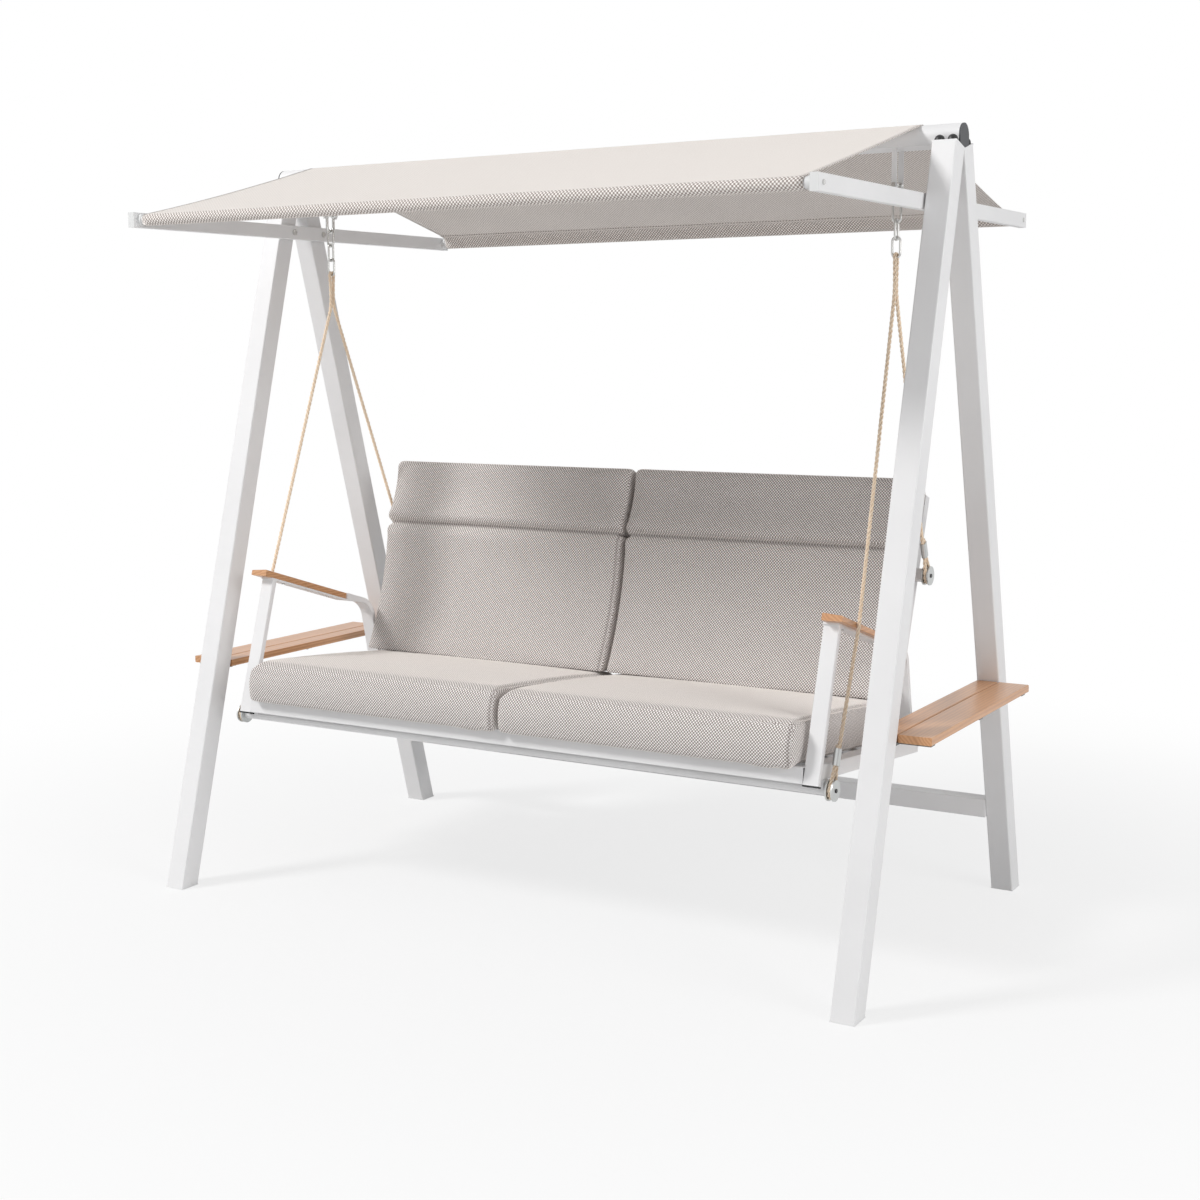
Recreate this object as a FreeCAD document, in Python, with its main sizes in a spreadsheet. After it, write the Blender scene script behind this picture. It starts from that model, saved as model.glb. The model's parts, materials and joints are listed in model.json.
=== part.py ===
import FreeCAD, Part
import math
import os
import re
import Sketcher
from types import SimpleNamespace

# Two-seat canopy swing: an A-frame of white aluminium tube, a fabric roof, a roped seat with teak arms.
# X runs along the ridge, Y from front to back, Z up; the origin is on the floor under the middle.

DIMENSIONS = [
    # A-frame
    ("leg_size", 60.0, "side of the square leg tube"),
    ("leg_wall", 2.5, "wall of the leg tube"),
    ("leg_corner", 4.0, "outer corner radius of the leg tube"),
    ("leg_lean", 15.3, "lean of each leg from upright, degrees"),
    ("leg_apex", 1926.0, "height of the inner top corner of each leg"),
    ("leg_top_gap", 2.0, "gap between the front and rear leg at the top"),
    ("leg_top_plug", 8.0, "thickness of the plate welded into the leg's top"),
    ("frame_inside", 1929.0, "clear width between the left and right legs"),
    ("foot_flange", 3.0, "thickness of the foot under the leg"),
    ("foot_spigot", 30.0, "height of the foot's spigot inside the leg"),
    ("foot_play", 0.2, "play of the spigot inside the leg"),
    ("saddle_thickness", 6.0, "thickness of the bent saddle plate"),
    ("saddle_bolt_shank", 8.0, "diameter of the saddle bolts"),
    ("saddle_bolt_length", 22.0, "length of the saddle bolts under the head"),
    ("saddle_bolt_head", 24.0, "diameter of the black domed head"),
    ("saddle_bolt_rim", 4.0, "height of the head's upright rim under its dome"),
    ("saddle_bolt_spacing", 32.0, "distance between the two bolts on a leg"),
    ("saddle_bolt_edge", 12.5, "distance from the bolt to the plate's outer edge"),
    ("bolt_play", 0.2, "radial play of a bolt in its hole"),
    # Ridge
    ("ridge_half_width", 30.0, "half width of the ridge beam and its top radius"),
    ("ridge_side", 18.8, "height of the ridge beam's upright side"),
    ("ridge_wall", 3.0, "wall of the ridge beam"),
    ("ridge_end_step", 5.0, "set of the ridge beam's end behind the legs' outer face"),
    ("ridge_cap", 4.0, "thickness of the end cap"),
    ("ridge_cap_plug", 20.0, "depth of the cap's plug in the beam"),
    ("ridge_cap_play", 0.2, "play of the plug in the beam"),
    # Roof
    ("roof_drop", 118.0, "drop of the roof arms and rods below the legs' inner top corner"),
    ("arm_depth", 1380.0, "length of a roof arm"),
    ("arm_tall", 38.0, "height of the roof arm tube"),
    ("arm_thick", 20.0, "thickness of the roof arm tube"),
    ("arm_wall", 2.0, "wall of the roof arm tube"),
    ("arm_corner", 2.0, "corner radius of the roof arm tube"),
    ("arm_cap", 3.0, "thickness of the roof arm's end cap"),
    ("arm_spacer", 5.0, "thickness of the spacer between arm and leg"),
    ("arm_spacer_diameter", 28.0, "diameter of that spacer"),
    ("arm_bolt", 8.0, "diameter of the bolt through the arm"),
    ("arm_bolt_head", 16.0, "diameter of that bolt's head"),
    ("arm_bolt_grip", 12.0, "length of that bolt inside the leg"),
    ("rod_inset", 24.0, "distance of a rod from the arm's end"),
    ("rod_diameter", 26.0, "diameter of the roof rods"),
    ("rod_wall", 1.5, "wall of the roof rods"),
    ("collar_diameter", 30.0, "diameter of the rod's end collar"),
    ("collar_length", 12.0, "length of the collar outside the rod"),
    ("collar_spigot", 30.0, "length of the collar inside the rod"),
    ("rod_screw", 6.0, "diameter of the screw into the collar"),
    ("rod_screw_head", 12.0, "diameter of that screw's head"),
    ("fabric_end_gap", 5.5, "gap between the fabric's side edge and a rod's collar"),
    ("fabric_thickness", 2.0, "thickness of the roof fabric with its backing"),
    ("fabric_play", 0.3, "play of the fabric round rods and ridge"),
    # Rear stretcher
    ("stretcher_size", 50.0, "side of the stretcher tube"),
    ("stretcher_wall", 2.0, "wall of the stretcher tube"),
    ("stretcher_corner", 3.0, "corner radius of the stretcher tube"),
    ("stretcher_height", 241.0, "height of the stretcher's centre"),
    ("sleeve_length", 60.0, "length of the sleeve inside each stretcher end"),
    ("sleeve_play", 0.2, "play of the sleeve inside the stretcher"),
    # Side tables
    ("table_top", 610.0, "height of the side tables' top"),
    ("slat_thickness", 19.0, "thickness of a table slat"),
    ("slat_inner_width", 56.0, "width of the slat between the legs"),
    ("slat_outer_width", 81.0, "width of the slat outside the legs"),
    ("slat_gap", 3.0, "groove between the two slats"),
    ("slat_end_gap", 3.0, "gap between a slat's end and the leg"),
    ("slat_rounding", 3.0, "edge rounding of the slats"),
    ("bracket_thickness", 5.0, "thickness of the brackets under a table"),
    ("bracket_width", 26.0, "width of the brackets under a table"),
    ("bracket_set_back", 20.0, "distance from a leg's face to the nearest bracket"),
    ("bracket_inset", 6.0, "how far a bracket stops short of the outer slat's edge"),
    ("bracket_inner_inset", 20.0, "how far a bracket stops short of the inner slat's edge"),
    ("table_screw", 5.0, "diameter of the table screws"),
    ("table_screw_head", 9.0, "diameter of the table screws' heads"),
    ("table_screw_bite", 12.0, "depth of the table screws in the slat"),
    # Hanger and chain
    ("hang_inset", 104.5, "distance of each chain from the leg's inner face"),
    ("strap_width", 12.0, "width of a hanger strap"),
    ("strap_thickness", 5.0, "thickness of a hanger strap"),
    ("strap_tail", 9.0, "length of a hanger strap below the shackle pin"),
    ("strap_play", 0.5, "play between strap and shackle"),
    ("shackle_wire", 8.0, "wire diameter of the shackle"),
    ("shackle_spread", 28.0, "distance between the shackle's legs"),
    ("shackle_long", 46.0, "distance from the pin to the shackle's lowest wire centre"),
    ("shackle_pin", 6.0, "diameter of the shackle pin"),
    ("shackle_eye", 14.0, "diameter of the shackle's eyes"),
    ("shackle_eye_thick", 9.0, "thickness of the shackle's eyes"),
    ("pin_drop", 71.0, "drop of the shackle pin below the legs' inner top corner"),
    ("pin_head", 11.0, "diameter of the pin's head and nut"),
    ("pin_head_height", 4.0, "thickness of the pin's head and nut"),
    ("link_wire", 6.0, "wire diameter of the chain links"),
    ("link_length", 47.5, "distance between a link's two end bars"),
    ("link_width", 20.0, "distance between a link's two side bars"),
    ("link_play", 0.3, "gap between linked wires"),
    # Seat frame
    ("seat_front", -441.0, "Y of the seat frame's lower front edge"),
    ("seat_height", 488.0, "height of the seat frame's lower front edge"),
    ("seat_slope", 5.5, "fall of the seat to the back, degrees"),
    ("seat_clearance", 97.5, "gap between the seat's side and the leg's inner face"),
    ("side_bar", 40.0, "width of the side rails, posts and arm bars"),
    ("side_rail_tall", 36.0, "height of the side rails"),
    ("side_rail_lift", 12.0, "lift of the side rails over the front edge"),
    ("side_rail_end", 640.0, "depth of the seat frame to the rails' end"),
    ("rail_wall", 2.0, "wall of the seat frame tubes"),
    ("rail_corner", 2.5, "corner radius of the seat frame tubes"),
    ("front_rail_tall", 40.0, "height of the front rail"),
    ("front_rail_deep", 25.0, "depth of the front and rear rails"),
    ("seat_slat_wide", 40.0, "width of a seat slat"),
    ("seat_slat_tall", 15.0, "height of a seat slat"),
    ("seat_slat_wall", 1.5, "wall of a seat slat"),
    ("seat_slat_pitch", 88.0, "pitch of the seat slats"),
    ("post_lean", 17.3, "lean of the front posts and fall of the armrests, degrees"),
    ("post_deep", 16.0, "depth of the front posts"),
    ("post_long", 372.0, "length of the front posts"),
    ("post_cap", 4.0, "thickness of the black cap under a post"),
    ("arm_strip", 5.0, "thickness of the arm bar under the teak"),
    ("arm_behind", 77.0, "length of the arm bar from the teak to its bend"),
    ("arm_bend", 64.0, "inner radius of the arm bar's bend"),
    ("arm_rear_lean", 12.0, "lean of the arm bar's rear leg, degrees"),
    ("arm_rear_thick", 14.0, "thickness of the arm bar behind the teak"),
    ("teak_short", 278.0, "how much shorter an armrest is than the seat frame is deep"),
    ("teak_wide", 52.0, "width of a teak armrest"),
    ("teak_inner", 18.0, "thickness of the armrest at its inner edge"),
    ("teak_outer", 14.0, "thickness of the armrest at its outer edge"),
    ("teak_overhang", 28.0, "overhang of the armrest before the post"),
    ("teak_inset", 5.0, "set of the armrest's inner edge from the bar"),
    ("teak_rounding", 2.5, "edge rounding of the armrest"),
    ("teak_screw", 5.0, "diameter of the armrest screws"),
    ("teak_screw_head", 9.0, "diameter of the armrest screws' heads"),
    ("teak_screw_bite", 8.0, "depth of the armrest screws in the teak"),
    # Backrest
    ("back_lean", 20.0, "lean of the backrest, degrees"),
    ("back_tube", 30.0, "side of the backrest tubes"),
    ("back_wall", 1.5, "wall of the backrest tubes"),
    ("upright_set", 19.7, "distance from the side rails' end to an upright's middle"),
    ("cross_tube_rise", 432.5, "distance up the back from the seat rails to the rear cross tube"),
    ("back_top_step", 205.0, "distance from the cross tube up to the top rail"),
    ("back_low_step", 240.0, "distance from the cross tube down to the low rail"),
    ("back_upright_inset", 37.0, "distance of an upright's middle from the side rail"),
    # Ropes and discs
    ("front_tube", 25.0, "diameter of the front cross tube"),
    ("front_tube_wall", 2.0, "wall of the front cross tube"),
    ("front_tube_set", 41.0, "set of the front cross tube behind the seat's front edge"),
    ("front_tube_drop", 16.0, "drop of the front cross tube below the seat's front edge"),
    ("front_disc_step", 17.0, "distance of a front disc's middle outside the seat's side"),
    ("rear_disc_step", 21.0, "distance of a rear disc's middle inside the seat's side"),
    ("disc_diameter", 50.0, "diameter of a rope disc"),
    ("disc_cheek", 4.0, "thickness of a disc's cheek"),
    ("disc_axle", 8.0, "diameter of the disc's axle bolt"),
    ("disc_axle_head", 10.0, "diameter of the axle bolt's head"),
    ("disc_axle_head_height", 2.0, "height of the axle bolt's head"),
    ("disc_axle_plug", 24.0, "length of the axle's plug in the cross tube"),
    ("rope_diameter", 10.0, "diameter of the rope"),
    ("rope_play", 0.2, "gap between the rope and what it bears on"),
    ("rope_binding", 86.0, "distance below the ring where the strands part"),
    ("ferrule_long", 40.0, "length of a ferrule"),
    ("ferrule_wall", 1.8, "wall of a ferrule"),
    ("ferrule_step", 57.0, "distance from disc to ferrule"),
    ("rope_tail", 8.0, "rope end standing out of a ferrule"),
    ("strand_relief", 8.0, "distance outside a ferrule where its strands bend"),
    ("rope_rest_gap", 0.5, "gap between the front rope and the armrest's edge it bears on"),
    # Cushions
    ("cushion_side_gap", 13.0, "gap between a seat cushion and the side rail"),
    ("cushion_gap", 4.0, "gap between the left and right cushions"),
    ("cushion_front", -36.0, "front of the seat cushion from the frame's front"),
    ("cushion_rear_gap", 43.0, "distance from a seat cushion's back to the side rails' end"),
    ("cushion_thick", 105.0, "thickness of a seat cushion at its sides"),
    ("cushion_crown", 12.0, "extra rise of a seat cushion in the middle"),
    ("cushion_lip", 8.0, "how far a seat cushion's front hangs down before the front rail"),
    ("cushion_lip_gap", 1.5, "gap between the front rail and the hanging lip"),
    ("cushion_rounding", 30.0, "edge rounding of a cushion"),
    ("cushion_end", 14.0, "length over which a seat cushion's end draws in"),
    ("cushion_drawn", 10.0, "how far a seat cushion's end draws in"),
    ("cushion_rest", 0.5, "gap under and behind a cushion"),
    ("back_cushion_side_gap", 3.0, "gap between a back cushion and the side rail's inner face"),
    ("back_cushion_tall", 558.0, "height of a back cushion"),
    ("back_cushion_lift", -4.0, "height of the back cushion over the top of the seat cushion's crown"),
    ("back_cushion_foot", 110.0, "thickness of a back cushion at its lower edge"),
    ("back_cushion_thick", 132.0, "thickness of a back cushion at its top and beside the groove"),
    ("back_cushion_crown", 18.0, "extra thickness of a back cushion in the middle"),
    ("back_cushion_end", 14.0, "length over which a back cushion's end draws in"),
    ("back_cushion_drawn", 10.0, "how far a back cushion's end draws in"),
    ("head_tall", 198.0, "height of the head roll"),
    ("head_groove", 26.0, "depth of the groove under the head roll"),
    ("head_groove_half", 14.0, "half of the width of that groove"),
]

doc = FreeCAD.newDocument("canopy_swing")
sheet = doc.addObject("Spreadsheet::Sheet", "Sizes")
for row, (alias, value, meaning) in enumerate(DIMENSIONS, 1):
    sheet.set(f"A{row}", meaning)
    sheet.set(f"B{row}", str(value))
    sheet.setAlias(f"B{row}", alias)
doc.recompute()
ALIASES = {alias for alias, value, meaning in DIMENSIONS}
size = SimpleNamespace(**{alias: float(sheet.get(alias)) for alias in ALIASES})

Vector = FreeCAD.Vector
AXIS_X, AXIS_Y, AXIS_Z = Vector(1, 0, 0), Vector(0, 1, 0), Vector(0, 0, 1)
UPRIGHT = FreeCAD.Rotation()
ALONG_X = FreeCAD.Rotation(AXIS_Y, 90)
ALONG_Y = FreeCAD.Rotation(AXIS_X, -90)
SIDES = (("left", -1), ("right", 1))
ENDS = (("front", -1), ("rear", 1))
sub_parts = []


def tilt(degrees):
    return FreeCAD.Rotation(AXIS_X, degrees)


def place(x, y, z, rotation=UPRIGHT):
    return FreeCAD.Placement(Vector(x, y, z), rotation)


def bind(target, prop, formula):
    """Ties a property to the sheet; the formula names its sizes by their aliases."""
    named = re.sub(r"[a-z_]+", lambda word: "Sizes." + word[0] if word[0] in ALIASES else word[0], formula)
    target.setExpression(prop, named)


def keep(part, label):
    """Makes an object a sub-part of the swing under its own name."""
    part.Label = label
    sub_parts.append(part)
    return part


def block(length, width, height, placement):
    part = doc.addObject("Part::Box", "Block")
    bind(part, "Length", length)
    bind(part, "Width", width)
    bind(part, "Height", height)
    part.Placement = placement
    return part


def round_bar(diameter, length, placement):
    part = doc.addObject("Part::Cylinder", "RoundBar")
    bind(part, "Radius", f"({diameter}) / 2")
    bind(part, "Height", length)
    part.Placement = placement
    return part


def cut(base, *tools):
    for tool in tools:
        part = doc.addObject("Part::Cut", "Cut")
        part.Base = base
        part.Tool = tool
        base = part
    return base


def common(base, tool):
    part = doc.addObject("Part::Common", "Common")
    part.Base = base
    part.Tool = tool
    return part


def fuse(*pieces):
    part = doc.addObject("Part::MultiFuse", "Fuse")
    part.Shapes = list(pieces)
    return part


def group(pieces):
    part = doc.addObject("Part::Compound", "Group")
    part.Links = list(pieces)
    return part


def plane_of(body, role):
    return next(plane for plane in body.Origin.OriginFeatures if plane.Role == role)


def sketch_on(body, role):
    sketch = body.newObject("Sketcher::SketchObject", "Sketch")
    sketch.AttachmentSupport = [(plane_of(body, role), "")]
    sketch.MapMode = "FlatFace"
    return sketch


def rectangle(sketch, wide, deep):
    """Adds a rectangle centred on the sketch's origin, its two sides tied to the sheet."""
    corners = [Vector(-1, -1, 0), Vector(1, -1, 0), Vector(1, 1, 0), Vector(-1, 1, 0)]
    first = sketch.GeometryCount
    for start, end in zip(corners, corners[1:] + corners[:1]):
        sketch.addGeometry(Part.LineSegment(start, end))
    for side in range(4):
        sketch.addConstraint(Sketcher.Constraint("Coincident", first + side, 2, first + (side + 1) % 4, 1))
    for side, turn in ((0, "Horizontal"), (1, "Vertical"), (2, "Horizontal"), (3, "Vertical")):
        sketch.addConstraint(Sketcher.Constraint(turn, first + side))
    sketch.addConstraint(Sketcher.Constraint("Symmetric", first, 1, first + 1, 2, -1, 1))
    for side, kind, formula in ((0, "DistanceX", wide), (1, "DistanceY", deep)):
        number = sketch.addConstraint(Sketcher.Constraint(kind, first + side, 1, first + side, 2, 2.0))
        bind(sketch, f"Constraints[{number}]", formula)


def tube(wide, deep, wall, corner, length, placement):
    """A square or flat tube along its own Z, open at both ends, with rounded outer corners."""
    body = doc.addObject("PartDesign::Body", "Tube")
    sketch = sketch_on(body, "XY_Plane")
    rectangle(sketch, wide, deep)
    rectangle(sketch, f"{wide} - 2 * {wall}", f"{deep} - 2 * {wall}")
    pad = body.newObject("PartDesign::Pad", "Pad")
    pad.Profile = sketch
    bind(pad, "Length", length)
    doc.recompute()
    reach = pad.Shape.BoundBox
    edges = []
    for number, edge in enumerate(pad.Shape.Edges, 1):
        box = edge.BoundBox
        upright = box.ZLength > reach.ZLength / 2
        outside = abs(abs(box.XMin) - reach.XMax) < 0.01 and abs(abs(box.YMin) - reach.YMax) < 0.01
        if upright and outside:
            edges.append(f"Edge{number}")
    fillet = body.newObject("PartDesign::Fillet", "Fillet")
    fillet.Base = (pad, edges)
    bind(fillet, "Radius", corner)
    body.Placement = placement
    return body


def outline_pad(loops, length, placement):
    """Pads an outline in the YZ plane along X; a loop's edge bows through a middle point where it has one."""
    body = doc.addObject("PartDesign::Body", "Profile")
    sketch = sketch_on(body, "YZ_Plane")
    for loop in loops:
        for (start, middle), (end, following) in zip(loop, loop[1:] + loop[:1]):
            if middle is None:
                edge = Part.LineSegment(Vector(*start, 0), Vector(*end, 0))
            else:
                edge = Part.Arc(Vector(*start, 0), Vector(*middle, 0), Vector(*end, 0))
            number = sketch.addGeometry(edge)
            sketch.addConstraint(Sketcher.Constraint("Block", number))
    pad = body.newObject("PartDesign::Pad", "Pad")
    pad.Profile = sketch
    bind(pad, "Length", length)
    body.Placement = placement
    return body


def circle_loop(y, z, radius):
    left, right = (y - radius, z), (y + radius, z)
    return [(left, (y, z + radius)), (right, (y, z - radius))]


def straight(points):
    return [(point, None) for point in points]


def solid_feature(shape, placement=FreeCAD.Placement()):
    part = doc.addObject("Part::Feature", "Form")
    part.Shape = shape
    part.Placement = placement
    return part


# A-frame legs with their feet, cut level at the floor and square at the top
lean = math.radians(size.leg_lean)
LEG_INNER_X = size.frame_inside / 2
LEG_X = LEG_INNER_X + size.leg_size / 2
LEG_OUTER_X = LEG_INNER_X + size.leg_size
ROOF_Z = size.leg_apex - size.roof_drop
leg_top_y = size.leg_top_gap / 2 + size.leg_size / 2 * math.cos(lean)
leg_top_z = size.leg_apex + size.leg_size / 2 * math.sin(lean)
leg_reach = leg_top_z / math.cos(lean) + size.leg_size
LEG_REACH = "(leg_apex + leg_size / 2 * sin(leg_lean)) / cos(leg_lean) + leg_size"


def leg_inner_y(height):
    """Distance of a leg's inner face from the middle at a given height."""
    return size.leg_top_gap / 2 + (size.leg_apex - height) * math.tan(lean)


def leg_start(side, end):
    """Placement of a leg's lower end, which reaches below the floor before it is cut."""
    y = end * (leg_top_y + leg_reach * math.sin(lean))
    return place(side * LEG_X, y, leg_top_z - leg_reach * math.cos(lean), tilt(end * size.leg_lean))


def saddle_bolt_places(side, end):
    """Places of the two bolts on a leg's top, where the saddle plate's lower face meets the leg."""
    out = size.leg_size - size.saddle_bolt_edge
    y = end * (size.leg_top_gap / 2 + out * math.cos(lean))
    z = size.leg_apex + out * math.sin(lean)
    for step in (-1, 1):
        yield place(side * LEG_X + step * size.saddle_bolt_spacing / 2, y, z, tilt(end * size.leg_lean))


def outward(side):
    """A turn that points a bar's length away from the middle."""
    return FreeCAD.Rotation(AXIS_Y, side * 90)


def along(placement, distance):
    """The same placement, moved along its own Z."""
    return placement.multiply(place(0, 0, distance))


arm_cross_y = leg_inner_y(ROOF_Z) + size.leg_size / math.cos(lean) / 2
feet = []
for end_name, end in ENDS:
    for side_name, side in SIDES:
        start = leg_start(side, end)
        leg_tube = tube("leg_size", "leg_size", "leg_wall", "leg_corner", LEG_REACH, start)
        inside = "leg_size - 2 * leg_wall"
        half_inside = size.leg_size / 2 - size.leg_wall
        plug_at = along(start, leg_reach - size.leg_top_plug).multiply(place(-half_inside, -half_inside, 0))
        plug = block(inside, inside, "leg_top_plug", plug_at)
        below = block("leg_size * 4", "leg_size * 4", "leg_size * 4",
                      place(start.Base.x - 2 * size.leg_size, start.Base.y - 2 * size.leg_size,
                            size.foot_flange - 4 * size.leg_size))
        holes = [round_bar("saddle_bolt_shank + 2 * bolt_play", "saddle_bolt_length",
                           along(at, -size.saddle_bolt_length)) for at in saddle_bolt_places(side, end)]
        holes.append(round_bar("arm_bolt + 2 * bolt_play", "arm_bolt_grip + bolt_play",
                               place(side * LEG_INNER_X, end * arm_cross_y, ROOF_Z, outward(side))))
        keep(cut(fuse(leg_tube, plug), below, *holes), f"leg_{end_name}_{side_name}")

        foot_y = end * (leg_inner_y(0) + size.leg_size / math.cos(lean) / 2)
        corner_at = place(side * LEG_X - 2 * size.leg_size, foot_y - 2 * size.leg_size, 0)
        flange_slab = block("leg_size * 4", "leg_size * 4", "foot_flange", corner_at)
        spigot_slab = block("leg_size * 4", "leg_size * 4", "foot_flange + foot_spigot", corner_at)
        outer_bar = block("leg_size", "leg_size", LEG_REACH,
                          start.multiply(place(-size.leg_size / 2, -size.leg_size / 2, 0)))
        half_spigot = half_inside - size.foot_play
        inner_bar = block(f"{inside} - 2 * foot_play", f"{inside} - 2 * foot_play", LEG_REACH,
                          start.multiply(place(-half_spigot, -half_spigot, 0)))
        feet.append(fuse(common(outer_bar, flange_slab), common(inner_bar, spigot_slab)))
keep(group(feet), "leg_feet")

# Saddle plates: a bent plate over each pair of legs, bolted down beside the ridge
saddle_low = size.leg_apex - size.leg_top_gap / 2 * math.tan(lean)
saddle_out_y = size.leg_top_gap / 2 + size.leg_size * math.cos(lean)
saddle_out_z = size.leg_apex + size.leg_size * math.sin(lean)
ridge_low = saddle_low + size.saddle_thickness / math.cos(lean)
saddle_edge_y = saddle_out_y - size.saddle_thickness * math.sin(lean)
saddle_edge_z = saddle_out_z + size.saddle_thickness * math.cos(lean)
saddle_outline = [(0, saddle_low), (saddle_out_y, saddle_out_z), (saddle_edge_y, saddle_edge_z),
                  (0, ridge_low), (-saddle_edge_y, saddle_edge_z), (-saddle_out_y, saddle_out_z)]
saddles, saddle_bolts = [], []
for side_name, side in SIDES:
    plate = outline_pad([straight(saddle_outline)], "leg_size", place(side * LEG_X - size.leg_size / 2, 0, 0))
    holes = []
    for end_name, end in ENDS:
        for at in saddle_bolt_places(side, end):
            holes.append(round_bar("saddle_bolt_shank + 2 * bolt_play", "saddle_thickness * 3",
                                   along(at, -size.saddle_thickness)))
            head_at = along(at, size.saddle_thickness)
            shank = round_bar("saddle_bolt_shank", "saddle_bolt_length",
                              along(head_at, -size.saddle_bolt_length))
            dome = doc.addObject("Part::Sphere", "Dome")
            bind(dome, "Radius", "saddle_bolt_head / 2")
            dome.Angle1 = 0
            dome.Placement = along(head_at, size.saddle_bolt_rim)
            rim = round_bar("saddle_bolt_head", "saddle_bolt_rim", head_at)
            saddle_bolts.append(fuse(shank, rim, dome))
    saddles.append(cut(plate, *holes))
keep(group(saddles), "saddle_plates")
keep(group(saddle_bolts), "saddle_bolts")

# Ridge beam: round on top, with a shallow V below that sits in the saddles
ridge_mid = ridge_low + size.ridge_half_width * math.tan(lean) + size.ridge_side
ridge_half = LEG_OUTER_X - size.ridge_end_step
RIDGE_LENGTH = "frame_inside + 2 * leg_size - 2 * ridge_end_step"


def ridge_loop(inset):
    """The beam's section, drawn in all round by a given inset."""
    half = size.ridge_half_width - inset
    low = ridge_low + inset / math.cos(lean)
    corner = low + half * math.tan(lean)
    return [((-half, ridge_mid), (0, ridge_mid + half)), ((half, ridge_mid), None), ((half, corner), None),
            ((0, low), None), ((-half, corner), None)]


keep(outline_pad([ridge_loop(0), ridge_loop(size.ridge_wall)], RIDGE_LENGTH, place(-ridge_half, 0, 0)),
     "ridge_beam")
caps = []
for side_name, side in SIDES:
    face_x = side * ridge_half
    cover = outline_pad([ridge_loop(0)], "ridge_cap",
                        place(min(face_x, face_x + side * size.ridge_cap), 0, 0))
    cap_plug = outline_pad([ridge_loop(size.ridge_wall + size.ridge_cap_play)], "ridge_cap_plug",
                           place(min(face_x, face_x - side * size.ridge_cap_plug), 0, 0))
    caps.append(fuse(cover, cap_plug))
keep(group(caps), "ridge_end_caps")

# Roof arms on the inner faces of the legs, with the rods that hold the fabric's hems
ARM_OUTER_X = LEG_INNER_X - size.arm_spacer
ARM_INNER_X = ARM_OUTER_X - size.arm_thick
ARM_X = ARM_OUTER_X - size.arm_thick / 2
ROD_Y = size.arm_depth / 2 - size.rod_inset
arm_caps, arm_spacers, arm_bolts, collars, rod_screws = [], [], [], [], []
for side_name, side in SIDES:
    arm_tube = tube("arm_thick", "arm_tall", "arm_wall", "arm_corner", "arm_depth - 2 * arm_cap",
                    place(side * ARM_X, size.arm_cap - size.arm_depth / 2, ROOF_Z, ALONG_Y))
    arm_holes = []
    for end_name, end in ENDS:
        cap_y = end * (size.arm_depth / 2 - size.arm_cap / 2)
        arm_caps.append(block("arm_thick", "arm_cap", "arm_tall",
                              place(side * ARM_X - size.arm_thick / 2, cap_y - size.arm_cap / 2,
                                    ROOF_Z - size.arm_tall / 2)))
        cross = place(side * ARM_INNER_X, end * arm_cross_y, ROOF_Z, outward(side))
        arm_holes.append(round_bar("arm_bolt + 2 * bolt_play", "arm_thick", cross))
        spacer = round_bar("arm_spacer_diameter", "arm_spacer", along(cross, size.arm_thick))
        bore = round_bar("arm_bolt + 2 * bolt_play", "arm_spacer", along(cross, size.arm_thick))
        arm_spacers.append(cut(spacer, bore))
        shank = round_bar("arm_bolt", "arm_thick + arm_spacer + arm_bolt_grip", cross)
        head = round_bar("arm_bolt_head", "arm_bolt / 2", along(cross, -size.arm_bolt / 2))
        arm_bolts.append(fuse(shank, head))

        rod_end = place(side * ARM_INNER_X, end * ROD_Y, ROOF_Z, outward(side))
        arm_holes.append(round_bar("rod_screw + 2 * bolt_play", "arm_thick", rod_end))
        flange = round_bar("collar_diameter", "collar_length", along(rod_end, -size.collar_length))
        spigot = round_bar("rod_diameter - 2 * rod_wall - 2 * bolt_play", "collar_spigot",
                           along(rod_end, -size.collar_length - size.collar_spigot))
        thread = round_bar("rod_screw", "collar_length + collar_spigot / 2",
                           along(rod_end, -size.collar_length - size.collar_spigot / 2))
        collars.append(cut(fuse(flange, spigot), thread))
        screw = round_bar("rod_screw", "arm_thick + collar_length + collar_spigot / 2",
                          along(rod_end, -size.collar_length - size.collar_spigot / 2))
        screw_head = round_bar("rod_screw_head", "rod_screw / 2", along(rod_end, size.arm_thick))
        rod_screws.append(fuse(screw, screw_head))
    keep(cut(arm_tube, *arm_holes), f"roof_arm_{side_name}")
keep(group(arm_caps), "roof_arm_caps")
keep(group(arm_spacers), "roof_arm_spacers")
keep(group(arm_bolts), "roof_arm_bolts")
keep(group(collars), "roof_rod_collars")
keep(group(rod_screws), "roof_rod_screws")

ROD_LENGTH = "frame_inside - 2 * (arm_spacer + arm_thick + collar_length)"
rod_half = ARM_INNER_X - size.collar_length
rods = []
for end_name, end in ENDS:
    rod_at = place(-rod_half, end * ROD_Y, ROOF_Z, ALONG_X)
    rod = round_bar("rod_diameter", ROD_LENGTH, rod_at)
    rods.append(cut(rod, round_bar("rod_diameter - 2 * rod_wall", ROD_LENGTH, rod_at)))
keep(group(rods), "roof_rods")

# Roof fabric: one sheet over the ridge, with a sleeve round each rod
sleeve_in = size.rod_diameter / 2 + size.fabric_play
sleeve_out = sleeve_in + size.fabric_thickness
crest_in = size.ridge_half_width + size.fabric_play
crest_out = crest_in + size.fabric_thickness
rise = ridge_mid - ROOF_Z
pitch = math.atan2(rise, ROD_Y) + math.asin((crest_in - sleeve_in) / math.hypot(rise, ROD_Y))
across = (math.sin(pitch), math.cos(pitch))
down_slope = (math.cos(pitch), -math.sin(pitch))
sleeve_step = math.sqrt(sleeve_out ** 2 - sleeve_in ** 2)


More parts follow.
